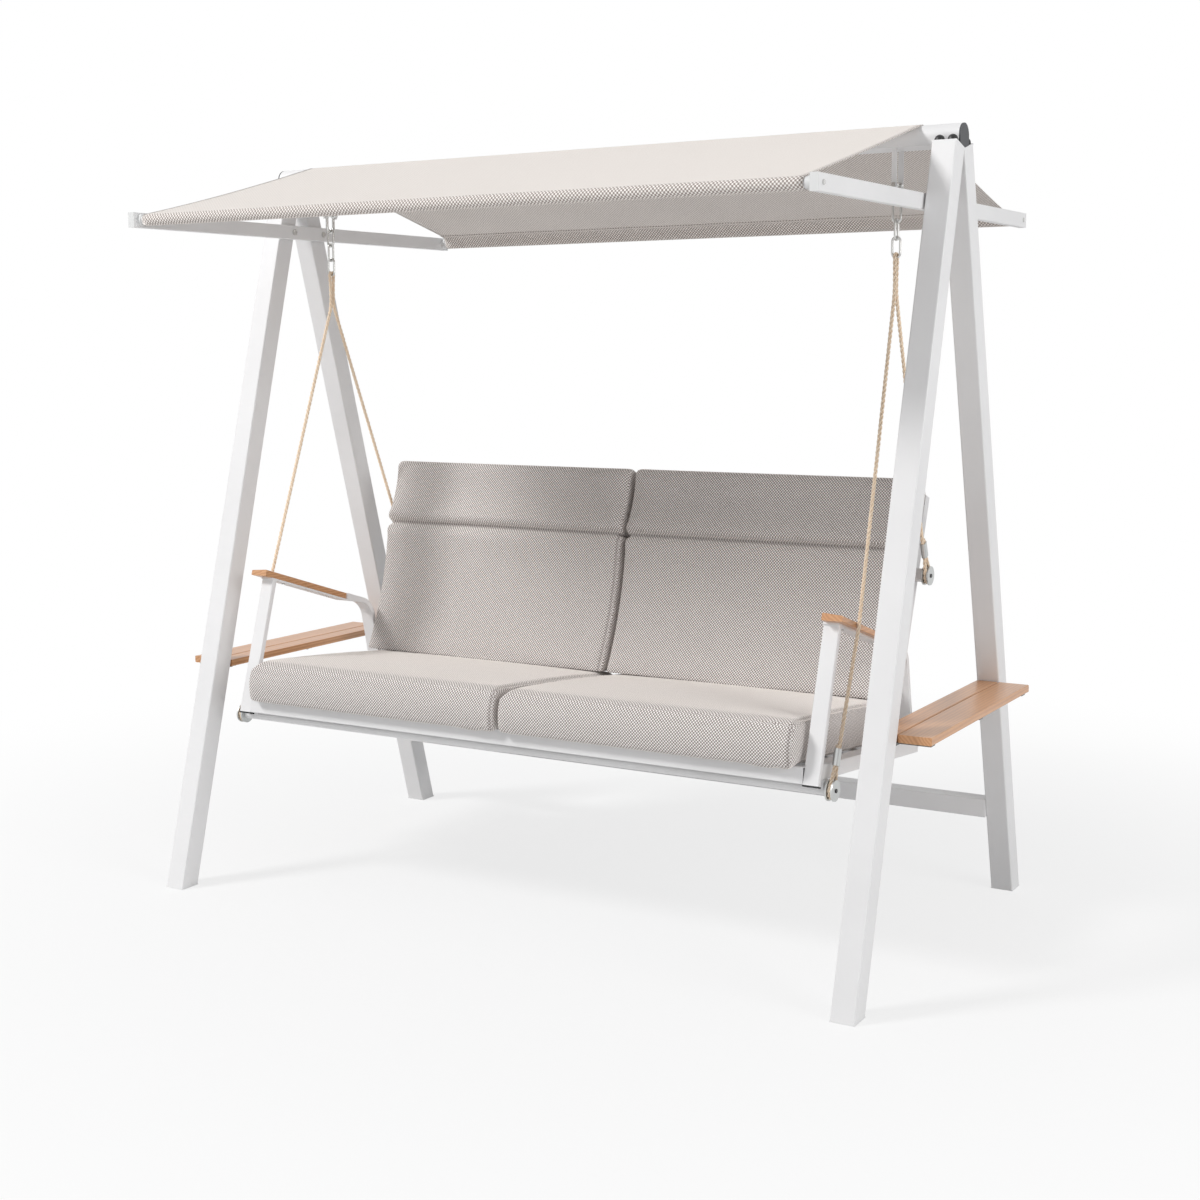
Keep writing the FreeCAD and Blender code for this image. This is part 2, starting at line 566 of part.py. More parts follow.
def on_rod(distance, step=0.0):
    """A point of the rear half's section, at a distance from the rod across the sheet."""
    return (ROD_Y + distance * across[0] - step * down_slope[0],
            ROOF_Z + distance * across[1] - step * down_slope[1])


def on_crest(radius):
    return (radius * across[0], ridge_mid + radius * across[1])


def mirrored(point):
    return (-point[0], point[1])


sleeve_far = (ROD_Y + sleeve_out * down_slope[0], ROOF_Z + sleeve_out * down_slope[1])
fabric_outline = [
    (mirrored(on_rod(sleeve_out)), None),
    (mirrored(on_crest(crest_out)), (0, ridge_mid + crest_out)),
    (on_crest(crest_out), None),
    (on_rod(sleeve_out), sleeve_far),
    (on_rod(sleeve_in, sleeve_step), None),
    (on_crest(crest_in), (0, ridge_mid + crest_in)),
    (mirrored(on_crest(crest_in)), None),
    (mirrored(on_rod(sleeve_in, sleeve_step)), mirrored(sleeve_far)),
]
rod_holes = [circle_loop(end * ROD_Y, ROOF_Z, sleeve_in) for end_name, end in ENDS]
FABRIC_WIDTH = f"{ROD_LENGTH} - 2 * fabric_end_gap"
keep(outline_pad([fabric_outline] + rod_holes, FABRIC_WIDTH, place(size.fabric_end_gap - rod_half, 0, 0)),
     "roof_fabric")

# Rear stretcher between the rear legs, held on a sleeve at each end
stretcher_y = leg_inner_y(size.stretcher_height + size.stretcher_size / 2) + size.stretcher_size / 2
keep(tube("stretcher_size", "stretcher_size", "stretcher_wall", "stretcher_corner", "frame_inside",
          place(-LEG_INNER_X, stretcher_y, size.stretcher_height, ALONG_X)), "rear_stretcher")
SLEEVE = "stretcher_size - 2 * stretcher_wall - 2 * sleeve_play"
sleeve_half = size.stretcher_size / 2 - size.stretcher_wall - size.sleeve_play
sleeves = []
for side_name, side in SIDES:
    start_x = min(side * LEG_INNER_X, side * (LEG_INNER_X - size.sleeve_length))
    sleeves.append(block("sleeve_length", SLEEVE, SLEEVE,
                         place(start_x, stretcher_y - sleeve_half, size.stretcher_height - sleeve_half)))
keep(group(sleeves), "stretcher_sleeves")

# Side tables: two teak slats a side on dark brackets, one slat between the legs and one outside them
SLAT_LENGTH = "2 * ((leg_apex - table_top) * tan(leg_lean) + leg_top_gap / 2 - slat_end_gap)"
slat_half = leg_inner_y(size.table_top) - size.slat_end_gap
slat_low = size.table_top - size.slat_thickness
outer_slat_start = LEG_INNER_X + size.slat_inner_width + size.slat_gap
outer_slat_end = outer_slat_start + size.slat_outer_width
bracket_low = slat_low - size.bracket_thickness
BRACKET_LENGTH = "slat_inner_width + slat_gap + slat_outer_width - bracket_inset - bracket_inner_inset"
bracket_start_x = LEG_INNER_X + size.bracket_inner_inset
bracket_end = outer_slat_end - size.bracket_inset


def slat(width, start_x):
    """A teak slat with its four long edges rounded."""
    blank = block(width, SLAT_LENGTH, "slat_thickness", place(start_x, -slat_half, slat_low))
    doc.recompute()
    part = doc.addObject("Part::Fillet", "Slat")
    part.Base = blank
    long_edges = [number for number, edge in enumerate(blank.Shape.Edges, 1)
                  if edge.BoundBox.YLength > slat_half]
    part.Edges = [(number, size.slat_rounding, size.slat_rounding) for number in long_edges]
    return part


table_screws = []
for side_name, side in SIDES:
    inner_start = min(side * LEG_INNER_X, side * (LEG_INNER_X + size.slat_inner_width))
    outer_start = min(side * outer_slat_start, side * outer_slat_end)
    inner_slat = slat("slat_inner_width", inner_start)
    outer_slat = slat("slat_outer_width", outer_start)
    bracket_start = min(side * bracket_start_x, side * bracket_end)
    brackets, screw_bites = [], []
    face_y = leg_inner_y(slat_low)
    for end in (-1, 0, 1):
        bracket_y = end * (face_y - size.bracket_set_back - size.bracket_width / 2)
        flat = block(BRACKET_LENGTH, "bracket_width", "bracket_thickness",
                     place(bracket_start, bracket_y - size.bracket_width / 2, bracket_low))
        screw_holes, bites = [], []
        inner_middle = LEG_INNER_X + size.slat_inner_width / 2
        outer_middle = outer_slat_start + size.slat_outer_width / 2
        for screw_x in (inner_middle, outer_middle):
            screw_at = place(side * screw_x, bracket_y, bracket_low)
            screw_holes.append(round_bar("table_screw", "bracket_thickness", screw_at))
            bites.append(round_bar("table_screw", "bracket_thickness + table_screw_bite", screw_at))
            shank = round_bar("table_screw", "bracket_thickness + table_screw_bite", screw_at)
            head = round_bar("table_screw_head", "table_screw / 2", along(screw_at, -size.table_screw / 2))
            table_screws.append(fuse(shank, head))
        screw_bites.append(bites)
        if end:
            tongue_y = bracket_y if end > 0 else bracket_y - size.bracket_set_back - size.bracket_width
            tongue_start = min(side * bracket_start_x, side * LEG_OUTER_X)
            tongue = block("leg_size - bracket_inner_inset", "bracket_set_back + bracket_width",
                           "bracket_thickness", place(tongue_start, tongue_y, bracket_low))
            leaning = block("leg_size", "leg_size", LEG_REACH,
                            leg_start(side, end).multiply(place(-size.leg_size / 2, -size.leg_size / 2, 0)))
            flat = cut(fuse(flat, tongue), leaning)
        brackets.append(cut(flat, *screw_holes))
    keep(group(brackets), f"table_brackets_{side_name}")
    keep(group([cut(wood, *bites) for wood, bites in zip((inner_slat, outer_slat), zip(*screw_bites))]),
         f"table_slats_{side_name}")
keep(group(table_screws), "table_screws")

# Hanger straps under the ridge, with a shackle on a pin between each pair
LINK_BAR = size.link_wire / 2
HANG_X = LEG_INNER_X - size.hang_inset
PIN_Z = size.leg_apex - size.pin_drop
shackle_low = PIN_Z - size.shackle_long
shackle_mid = shackle_low + size.shackle_spread / 2
strap_inner_y = size.shackle_spread / 2 + size.shackle_eye_thick / 2 + size.strap_play
ridge_blank = outline_pad([ridge_loop(0)], RIDGE_LENGTH, place(-ridge_half, 0, 0))
straps, shackles, pins = [], [], []
for side_name, side in SIDES:
    hang_x = side * HANG_X
    strap_outer_y = strap_inner_y + size.strap_thickness
    pin_start = place(hang_x, -strap_outer_y, PIN_Z, ALONG_Y)
    PIN_GRIP = "shackle_spread + shackle_eye_thick + 2 * strap_play + 2 * strap_thickness"
    pin_grip = 2 * strap_outer_y
    for end_name, end in ENDS:
        strap_y = strap_inner_y if end > 0 else -strap_outer_y
        strap = block("strap_width", "strap_thickness", "ridge_half_width + pin_drop + strap_tail",
                      place(hang_x - size.strap_width / 2, strap_y, PIN_Z - size.strap_tail))
        straps.append(cut(strap, ridge_blank, round_bar("shackle_pin + 2 * bolt_play", PIN_GRIP, pin_start)))

    bow = doc.addObject("Part::Torus", "Bow")
    bind(bow, "Radius1", "shackle_spread / 2")
    bind(bow, "Radius2", "shackle_wire / 2")
    bow.Angle3 = 180
    bow_turn = FreeCAD.Rotation(AXIS_Z, 90) * FreeCAD.Rotation(AXIS_X, -90)
    bow.Placement = place(hang_x, 0, shackle_mid, bow_turn)
    pieces = [bow]
    for end_name, end in ENDS:
        leg_y = end * size.shackle_spread / 2
        pieces.append(round_bar("shackle_wire", "shackle_long - shackle_spread / 2",
                                place(hang_x, leg_y, shackle_mid)))
        pieces.append(round_bar("shackle_eye", "shackle_eye_thick",
                                place(hang_x, leg_y - size.shackle_eye_thick / 2, PIN_Z, ALONG_Y)))
    shackles.append(cut(fuse(*pieces), round_bar("shackle_pin + 2 * bolt_play", PIN_GRIP, pin_start)))

    pin = round_bar("shackle_pin", PIN_GRIP, pin_start)
    head = round_bar("pin_head", "pin_head_height", along(pin_start, -size.pin_head_height))
    nut = round_bar("pin_head", "pin_head_height", along(pin_start, pin_grip))
    pins.append(fuse(pin, head, nut))
keep(group(straps), "hanger_straps")
keep(group(shackles), "hanger_shackles")
keep(group(pins), "shackle_pins")

# Chain: two links and a ring a side, each a bent wire; the upper link hooks into the shackle
link_top = shackle_low + size.shackle_wire / 2 + size.link_play + LINK_BAR
hook_step = size.link_wire + size.link_play
LINK_TOPS = [link_top - step * (size.link_length - hook_step) for step in range(3)]
RING_BAR_Z = LINK_TOPS[2] - size.link_length


def link(x, top, across_ridge):
    """A long link of round wire, its upper end bar at the given height."""
    turn = FreeCAD.Rotation(AXIS_Z, 90) if across_ridge else UPRIGHT
    bend = size.link_width / 2
    pieces = []
    for height, flip in ((top - bend, 90), (top - size.link_length + bend, -90)):
        half = doc.addObject("Part::Torus", "HalfRing")
        bind(half, "Radius1", "link_width / 2")
        bind(half, "Radius2", "link_wire / 2")
        half.Angle3 = 180
        half.Placement = place(x, 0, height, turn * FreeCAD.Rotation(AXIS_X, flip))
        pieces.append(half)
    for step in (-1, 1):
        offset = turn.multVec(Vector(step * bend, 0, 0))
        pieces.append(round_bar("link_wire", "link_length - link_width",
                                place(x + offset.x, offset.y, top - size.link_length + bend)))
    return fuse(*pieces)


for side_name, side in SIDES:
    upper, lower, ring = (link(side * HANG_X, top, across_ridge)
                          for top, across_ridge in zip(LINK_TOPS, (False, True, False)))
    keep(group([upper, lower]), f"chain_links_{side_name}")
    keep(ring, f"chain_ring_{side_name}")

# Seat frame: rails and slats lie in a plane that falls to the back
SEAT_TURN = tilt(-size.seat_slope)
side_outer = LEG_INNER_X - size.seat_clearance
seat_half = side_outer - size.side_bar
SEAT_INSIDE = "frame_inside - 2 * seat_clearance - 2 * side_bar"
SEAT_PLANE = place(0, size.seat_front, size.seat_height, SEAT_TURN)


def in_seat(x, depth, height, rotation=UPRIGHT):
    """A placement given in the seat's own sloping plane, from its lower front edge."""
    return SEAT_PLANE.multiply(place(x, depth, height, rotation))


def seat_tube(tall, deep, depth, height, wall="rail_wall", corner="rail_corner"):
    """A tube across the seat, its lower front edge at the given depth and height in the seat's plane."""
    tall_now, deep_now = getattr(size, tall), getattr(size, deep)
    return tube(tall, deep, wall, corner, SEAT_INSIDE,
                in_seat(-seat_half, depth + deep_now / 2, height + tall_now / 2, ALONG_X))


post_turn = tilt(-size.post_lean)
post_lean = math.radians(size.post_lean)
keep(seat_tube("front_rail_tall", "front_rail_deep", 0, 0), "seat_front_rail")
rear_rail_start = size.side_rail_end - size.front_rail_deep
keep(seat_tube("front_rail_tall", "front_rail_deep", rear_rail_start, 0), "seat_rear_rail")
slat_level = size.front_rail_tall - size.seat_slat_tall
slat_count = int((size.side_rail_end - 2 * size.front_rail_deep) // size.seat_slat_pitch)
slat_room = size.side_rail_end - 2 * size.front_rail_deep - slat_count * size.seat_slat_wide
slat_space = slat_room / (slat_count + 1)
slat_starts = [size.front_rail_deep + slat_space + step * (size.seat_slat_wide + slat_space)
               for step in range(slat_count)]
seat_slats = [seat_tube("seat_slat_tall", "seat_slat_wide", start, slat_level, "seat_slat_wall",
                        "seat_slat_wall") for start in slat_starts]
keep(group(seat_slats), "seat_slats")


def post_blank(side, spread):
    """A bar in the post's place and lean, grown by a spread in depth, for trimming what meets the post."""
    start_x = min(side * seat_half, side * side_outer)
    foot = place(start_x, size.seat_front, size.seat_height, post_turn)
    return block("side_bar", "post_deep", "post_long + post_cap",
                 foot.multiply(place(0, -spread, -size.post_cap)))


posts, post_caps, side_rails = [], [], []
side_mid = seat_half + size.side_bar / 2
for side_name, side in SIDES:
    post_at = place(side * side_mid, size.seat_front, size.seat_height, post_turn)
    post = tube("side_bar", "post_deep", "rail_wall", "rail_corner", "post_long",
                post_at.multiply(place(0, size.post_deep / 2, 0)))
    posts.append(post)
    post_caps.append(block("side_bar", "post_deep", "post_cap",
                           post_at.multiply(place(-size.side_bar / 2, 0, -size.post_cap))))
    rail = tube("side_bar", "side_rail_tall", "rail_wall", "rail_corner", "side_rail_end",
                in_seat(side * side_mid, 0, size.side_rail_lift + size.side_rail_tall / 2, ALONG_Y))
    side_rails.append(cut(rail, post_blank(side, 0), post_blank(side, size.post_deep)))
keep(group(posts), "front_posts")
keep(group(post_caps), "post_caps")
keep(group(side_rails), "seat_side_rails")

# Arm bars: a strip under the teak that thickens behind it and bends down to the side rail
rear_lean = math.radians(size.arm_rear_lean)
post_top_y = size.seat_front + size.post_long * math.sin(post_lean)
post_top_z = size.seat_height + size.post_long * math.cos(post_lean)
arm_origin = (post_top_y, post_top_z)
arm_run = (math.cos(post_lean), -math.sin(post_lean))
arm_up = (math.sin(post_lean), math.cos(post_lean))
rear_run = (math.sin(rear_lean), -math.cos(rear_lean))
rear_out = (math.cos(rear_lean), math.sin(rear_lean))


def on_arm(run, rise_up):
    """A point of the arm's side view: so far along the arm from the post's top, and so far above it."""
    return (arm_origin[0] + run * arm_run[0] + rise_up * arm_up[0],
            arm_origin[1] + run * arm_run[1] + rise_up * arm_up[1])


def away(point, direction, distance):
    return (point[0] + direction[0] * distance, point[1] + direction[1] * distance)


teak_long = size.side_rail_end - size.teak_short
teak_end = teak_long - size.teak_overhang
arm_top = size.arm_strip + size.teak_inner
bar_low = arm_top - size.arm_rear_thick
bend_outer = size.arm_bend + size.arm_rear_thick
bend_run = teak_end + size.arm_behind
bend_centre = on_arm(bend_run, bar_low - size.arm_bend)
half_turn = math.radians(90) - (post_lean + (math.radians(90) - rear_lean)) / 2
bend_mid = (math.sin(math.radians(90) - half_turn), math.cos(math.radians(90) - half_turn))
seat_slope = math.radians(size.seat_slope)
rear_leg_in = away(bend_centre, rear_out, size.arm_bend)
rear_leg_out = away(bend_centre, rear_out, bend_outer)


def drop_to_rail(point):
    """Where a point of the rear leg, moved along the leg, meets the side rail's top face."""
    top = size.side_rail_lift + size.side_rail_tall
    height = ((point[1] - size.seat_height) * math.cos(seat_slope)
              + (point[0] - size.seat_front) * math.sin(seat_slope)) - top
    fall = -(rear_run[1] * math.cos(seat_slope) + rear_run[0] * math.sin(seat_slope))
    return away(point, rear_run, height / fall)


arm_outline = [
    (on_arm(-size.post_deep / 4, 0), None),
    (on_arm(teak_end, 0), None),
    (on_arm(bend_run, bar_low), away(bend_centre, bend_mid, size.arm_bend)),
    (rear_leg_in, None),
    (drop_to_rail(rear_leg_in), None),
    (drop_to_rail(rear_leg_out), None),
    (rear_leg_out, away(bend_centre, bend_mid, bend_outer)),
    (on_arm(bend_run, arm_top), None),
    (on_arm(teak_end, arm_top), None),
    (on_arm(teak_end, size.arm_strip), None),
    (on_arm(-size.post_deep / 4, size.arm_strip), None),
]
teak_screws = []
for side_name, side in SIDES:
    bar_start = min(side * seat_half, side * side_outer)
    arm_bar = outline_pad([arm_outline], "side_bar", place(bar_start, 0, 0))
    inner_x = side * (seat_half + size.teak_inset)
    outer_x = inner_x + side * size.teak_wide
    teak_outline = [Vector(inner_x, 0, 0), Vector(outer_x, 0, 0), Vector(outer_x, 0, size.teak_outer),
                    Vector(inner_x, 0, size.teak_inner)]
    section = Part.Face(Part.makePolygon(teak_outline + teak_outline[:1]))
    wood = section.extrude(Vector(0, teak_long, 0))
    long_edges = [edge for edge in wood.Edges if edge.BoundBox.YLength > teak_long / 2]
    wood = wood.makeFillet(size.teak_rounding, long_edges)
    armrest = solid_feature(wood, place(0, *on_arm(-size.teak_overhang, size.arm_strip), post_turn))
    holes, bites = [], []
    for share in (1 / 5, 4 / 5):
        screw_at = place(side * side_mid, *on_arm(teak_end * share, 0), post_turn)
        holes.append(round_bar("teak_screw", "arm_strip", screw_at))
        bites.append(round_bar("teak_screw", "arm_strip + teak_screw_bite", screw_at))
        shank = round_bar("teak_screw", "arm_strip + teak_screw_bite", screw_at)
        head = round_bar("teak_screw_head", "teak_screw / 2", along(screw_at, -size.teak_screw / 2))
        teak_screws.append(fuse(shank, head))
    keep(cut(arm_bar, *holes), f"arm_bar_{side_name}")
    keep(cut(armrest, *bites), f"armrest_{side_name}")
keep(group(teak_screws), "armrest_screws")

# Backrest: three cross tubes on two uprights behind them; the middle tube carries the rear rope discs
back_lean = math.radians(size.back_lean)
back_up = (math.sin(back_lean), math.cos(back_lean))
back_behind = (math.cos(back_lean), -math.sin(back_lean))
BACK_TURN = tilt(-size.back_lean)
upright_seat = in_seat(0, size.side_rail_end - size.upright_set, size.front_rail_tall).Base
upright_line = away((upright_seat.y, upright_seat.z), back_up, size.cross_tube_rise)
back_origin = away(upright_line, back_behind, -size.back_tube)
disc_half = size.rope_diameter / 2 + 2 * size.rope_play / 2 + size.disc_cheek
REAR_DISC_X = side_outer - size.rear_disc_step
rear_tube_half = REAR_DISC_X - disc_half
UPRIGHT_X = seat_half - size.back_upright_inset


def on_back(up_step, behind=0.0):
    point = away(back_origin, back_up, up_step)
    return away(point, back_behind, behind)


def back_tube(length, half, step):
    return tube("back_tube", "back_tube", "back_wall", "rail_corner", length,
                place(-half, *on_back(step), BACK_TURN * ALONG_X))


DISC_WIDTH = "rope_diameter + 2 * rope_play + 2 * disc_cheek"
REAR_TUBE = f"frame_inside - 2 * seat_clearance - 2 * rear_disc_step - ({DISC_WIDTH})"
BACK_RAIL = f"{SEAT_INSIDE} - 2 * back_upright_inset + back_tube"
back_rail_half = UPRIGHT_X + size.back_tube / 2
keep(back_tube(BACK_RAIL, back_rail_half, size.back_top_step), "back_top_rail")
keep(back_tube(BACK_RAIL, back_rail_half, -size.back_low_step), "back_low_rail")
keep(back_tube(REAR_TUBE, rear_tube_half, 0), "rear_cross_tube")

upright_low = on_back(-size.back_low_step, size.back_tube)
fall_height = ((upright_low[1] - size.seat_height) * math.cos(seat_slope)
               + (upright_low[0] - size.seat_front) * math.sin(seat_slope))
upright_foot = fall_height / (back_up[1] * math.cos(seat_slope) + back_up[0] * math.sin(seat_slope))
uprights = []
for side_name, side in SIDES:
    foot = away(upright_low, back_up, -upright_foot)
    UPRIGHT_LENGTH = f"back_top_step + back_low_step + back_tube / 2 + {upright_foot}"
    upright = tube("back_tube", "back_tube", "back_wall", "rail_corner", UPRIGHT_LENGTH,
                   place(side * UPRIGHT_X, *foot, BACK_TURN))
    seat_blank = block(SEAT_INSIDE, "side_rail_end * 2", "front_rail_tall * 3",
                       in_seat(-seat_half, 0, size.front_rail_tall - 3 * size.front_rail_tall))
    uprights.append(cut(upright, seat_blank))
keep(group(uprights), "back_uprights")

# Front cross tube under the seat, seated on two saddles below the side rails
FRONT_DISC_X = side_outer + size.front_disc_step
front_tube_y = size.seat_front + size.front_tube_set
front_tube_z = size.seat_height - size.front_tube_drop
front_tube_half = FRONT_DISC_X - disc_half
FRONT_TUBE = f"frame_inside - 2 * seat_clearance + 2 * front_disc_step - ({DISC_WIDTH})"
front_at = place(-front_tube_half, front_tube_y, front_tube_z, ALONG_X)
keep(cut(round_bar("front_tube", FRONT_TUBE, front_at),
         round_bar("front_tube - 2 * front_tube_wall", FRONT_TUBE, front_at)), "front_cross_tube")
blocks = []
for side_name, side in SIDES:
    saddle = block("side_bar", "front_tube", "front_tube * 2",
                   place(min(side * seat_half, side * side_outer), front_tube_y - size.front_tube / 2,
                         front_tube_z))
    rail_blank = block("side_bar", "side_rail_end", "side_rail_tall * 3",
                       in_seat(min(side * seat_half, side * side_outer), 0, size.side_rail_lift))
    blocks.append(cut(saddle, rail_blank, round_bar("front_tube", FRONT_TUBE, front_at)))
keep(group(blocks), "cross_tube_saddles")

# Rope discs on the ends of the two cross tubes, each turned with a groove, on an axle bolt with a tube plug
groove_floor = size.disc_diameter / 4
ROPE_TURN = groove_floor + size.rope_play + size.rope_diameter / 2
DISC_PLACES = {
    "front": (FRONT_DISC_X, front_tube_y, front_tube_z),
    "rear": (REAR_DISC_X, *back_origin),
}
discs, axles = [], []
for end_name, end in ENDS:
    disc_x, disc_y, disc_z = DISC_PLACES[end_name]
    for side_name, side in SIDES:
        inner_face = place(side * (disc_x - disc_half), disc_y, disc_z, outward(side))
        cheek_in = round_bar("disc_diameter", "disc_cheek", inner_face)
        hub = round_bar("disc_diameter / 2", DISC_WIDTH, inner_face)
        cheek_out = round_bar("disc_diameter", "disc_cheek",
                              along(inner_face, 2 * disc_half - size.disc_cheek))
        bore_hole = round_bar("disc_axle + 2 * bolt_play", DISC_WIDTH, inner_face)
        discs.append(cut(fuse(cheek_in, hub, cheek_out), bore_hole))
        shank = round_bar("disc_axle", DISC_WIDTH, inner_face)
        head = round_bar("disc_axle_head", "disc_axle_head_height", along(inner_face, 2 * disc_half))
        plug_width = "front_tube - 2 * front_tube_wall" if end < 0 else "back_tube - 2 * back_wall"
        tube_plug = round_bar(f"{plug_width} - 2 * bolt_play", "disc_axle_plug",
                              along(inner_face, -size.disc_axle_plug))
        axles.append(fuse(shank, head, tube_plug))
keep(group(discs), "rope_discs")
keep(group(axles), "disc_axles")

# Ropes: one a side, an eye round each disc and a bight through the ring; straight runs and tangent arcs
STRAND = size.rope_diameter / 2 + size.rope_play / 2
RING_TURN = LINK_BAR + size.link_play + size.rope_diameter / 2


def unit(vector):
    return Vector(vector).normalize()


def rounded_run(points, radii):
    """Straight runs through the points, with a tangent arc of the given radius at each point between."""
    edges = []
    start = points[0]
    for before, corner, after, radius in zip(points, points[1:], points[2:], radii):
        inward, outward = unit(before - corner), unit(after - corner)
        half = math.acos(max(-1.0, min(1.0, inward.dot(outward)))) / 2
        reach = radius / math.tan(half)
        bisector = unit(inward + outward)
        centre = corner + bisector * (radius / math.sin(half))
        first, last = corner + inward * reach, corner + outward * reach
        edges.append(Part.LineSegment(start, first).toShape())
        edges.append(Part.Arc(first, centre - bisector * radius, last).toShape())
        start = last
    edges.append(Part.LineSegment(start, points[-1]).toShape())
    return edges


def eye_frame(side, end_name):
    """The disc's centre, the rope's direction up from it, and the direction across it to the front."""
    disc_x, disc_y, disc_z = DISC_PLACES[end_name]
    centre = Vector(side * disc_x, disc_y, disc_z)
    part_point = Vector(side * HANG_X, dict(ENDS)[end_name] * STRAND, RING_BAR_Z - size.rope_binding)
    up = part_point - centre
    up.x = 0
    return centre, unit(up), unit(Vector(0, -up.z, up.y)), part_point


def past_armrest(side, low, high):
    """Where the run between two points passes the armrest, moved out to bear on its outer edge."""
    def rise_over_arm(point):
        return (point.y - arm_origin[0]) * arm_up[0] + (point.z - arm_origin[1]) * arm_up[1]

    edge = size.arm_strip + size.teak_outer / 2
    share = (edge - rise_over_arm(low)) / (rise_over_arm(high) - rise_over_arm(low))
    point = low + (high - low) * share
    outer_edge = seat_half + size.teak_inset + size.teak_wide
    point.x = side * (outer_edge + size.rope_diameter / 2 + size.rope_rest_gap)
    return point


def half_rope(side, end_name):
    """Edges from the rope's tail, round the disc, and up to the point beside the ring."""
    end = dict(ENDS)[end_name]
    centre, up, across_rope, part_point = eye_frame(side, end_name)
    inner = across_rope * end

    def spot(rise_up, step):
        return centre + up * rise_up + inner * step

    ferrule_top = size.ferrule_step + size.ferrule_long
    parting = size.ferrule_step - size.strand_relief
    angle = math.atan2(STRAND, parting) + math.acos(ROPE_TURN / math.hypot(parting, STRAND))
    tangent_in = spot(ROPE_TURN * math.cos(angle), -ROPE_TURN * math.sin(angle))
    tangent_out = spot(ROPE_TURN * math.cos(angle), ROPE_TURN * math.sin(angle))
    bend = size.ferrule_long * 1.5
    tail = [spot(ferrule_top + size.rope_tail, -STRAND), spot(parting, -STRAND), tangent_in]
    edges = rounded_run(tail, [bend])
    edges.append(Part.Arc(tangent_in, spot(-ROPE_TURN, 0), tangent_out).toShape())
    ring_side = Vector(side * HANG_X, end * RING_TURN, RING_BAR_Z)
    lead = [tangent_out, spot(parting, STRAND), spot(ferrule_top + size.strand_relief, STRAND)]
    bends = [bend, 10 * size.ferrule_long]
    if end_name == "front":
        lead.append(past_armrest(side, lead[-1], part_point))
        bends.append(10 * size.ferrule_long)
    lead += [part_point, Vector(part_point.x, part_point.y, part_point.z + size.rope_binding / 2), ring_side]
    edges += rounded_run(lead, bends + [size.rope_binding, size.rope_binding])
    return edges, ring_side


for side_name, side in SIDES:
    front_edges, front_ring = half_rope(side, "front")
    rear_edges, rear_ring = half_rope(side, "rear")
    over_ring = Vector(side * HANG_X, 0, RING_BAR_Z + RING_TURN)
    bight = Part.Arc(front_ring, over_ring, rear_ring).toShape()
    path = Part.Wire(Part.__sortEdges__(front_edges + [bight] + rear_edges))
    start_edge = front_edges[0]
    start = start_edge.valueAt(start_edge.FirstParameter)
    heading = start_edge.tangentAt(start_edge.FirstParameter)
    section = Part.Wire(Part.Circle(start, heading, size.rope_diameter / 2).toShape())
    rope = path.makePipeShell([section], True, False)
    expected = path.Length * math.pi * size.rope_diameter ** 2 / 4
    print(f"rope {side_name}: length {path.Length:.0f} mm, volume over section times length "
          f"{rope.Volume / expected:.4f}, eye radius {ROPE_TURN:.1f}, ring radius {RING_TURN:.1f}")
    keep(solid_feature(rope), f"rope_{side_name}")

# Ferrules: an oval sleeve over the two strands above each disc
ferrules = []
for end_name, end in ENDS:
    for side_name, side in SIDES:
        centre, up, across_rope, part_point = eye_frame(side, end_name)
        turn = FreeCAD.Rotation(AXIS_X, across_rope, up, "ZXY")

        def oval(radius):
            pieces = [Part.makeCylinder(radius, size.ferrule_long, Vector(0, step * STRAND, 0))
                      for step in (-1, 1)]
            middle = Part.makeBox(2 * radius, 2 * STRAND, size.ferrule_long, Vector(-radius, -STRAND, 0))
            return pieces[0].fuse([pieces[1], middle]).removeSplitter()

        clear = size.rope_diameter / 2 + size.rope_play / 2
        sleeve = oval(clear + size.ferrule_wall).cut(oval(clear))
        ferrules.append(solid_feature(sleeve, FreeCAD.Placement(centre + up * size.ferrule_step, turn)))
keep(group(ferrules), "rope_ferrules")


# Cushions: lofts along X of a rounded section, crowned in the middle and drawn in at the ends
def bowed(start, end, bow):
    """The middle point of an edge that bows to the left of its direction."""
    run = (end[0] - start[0], end[1] - start[1])
    length = math.hypot(*run)
    return ((start[0] + end[0]) / 2 - run[1] / length * bow, (start[1] + end[1]) / 2 + run[0] / length * bow)


def cushion_wire(x, corners, bows, roundings, placement):
    """A closed section of arcs through rounded corners, at a given X, in the cushion's own plane."""
    count = len(corners)
    arcs = []
    for number, corner in enumerate(corners):
        before, after = corners[number - 1], corners[(number + 1) % count]
        radius = roundings[number]
        toward = math.hypot(before[0] - corner[0], before[1] - corner[1])
        onward = math.hypot(after[0] - corner[0], after[1] - corner[1])
        first = tuple(c + (b - c) * radius / toward for c, b in zip(corner, before))
        last = tuple(c + (a - c) * radius / onward for c, a in zip(corner, after))
        knee = tuple(c + (f / 2 + l / 2 - c) * 0.586 for c, f, l in zip(corner, first, last))
        arcs.append((first, knee, last))
    edges = []
    for number, (first, knee, last) in enumerate(arcs):
        points = [placement.multVec(Vector(x, *point)) for point in (first, knee, last)]
        if roundings[number]:
            edges.append(Part.Arc(*points).toShape())
        onward = arcs[(number + 1) % count][0]
        middle = bowed(last, onward, bows[number])
        side_points = [placement.multVec(Vector(x, *point)) for point in (last, middle, onward)]
        edges.append(Part.Arc(*side_points).toShape())
    return Part.Wire(edges)


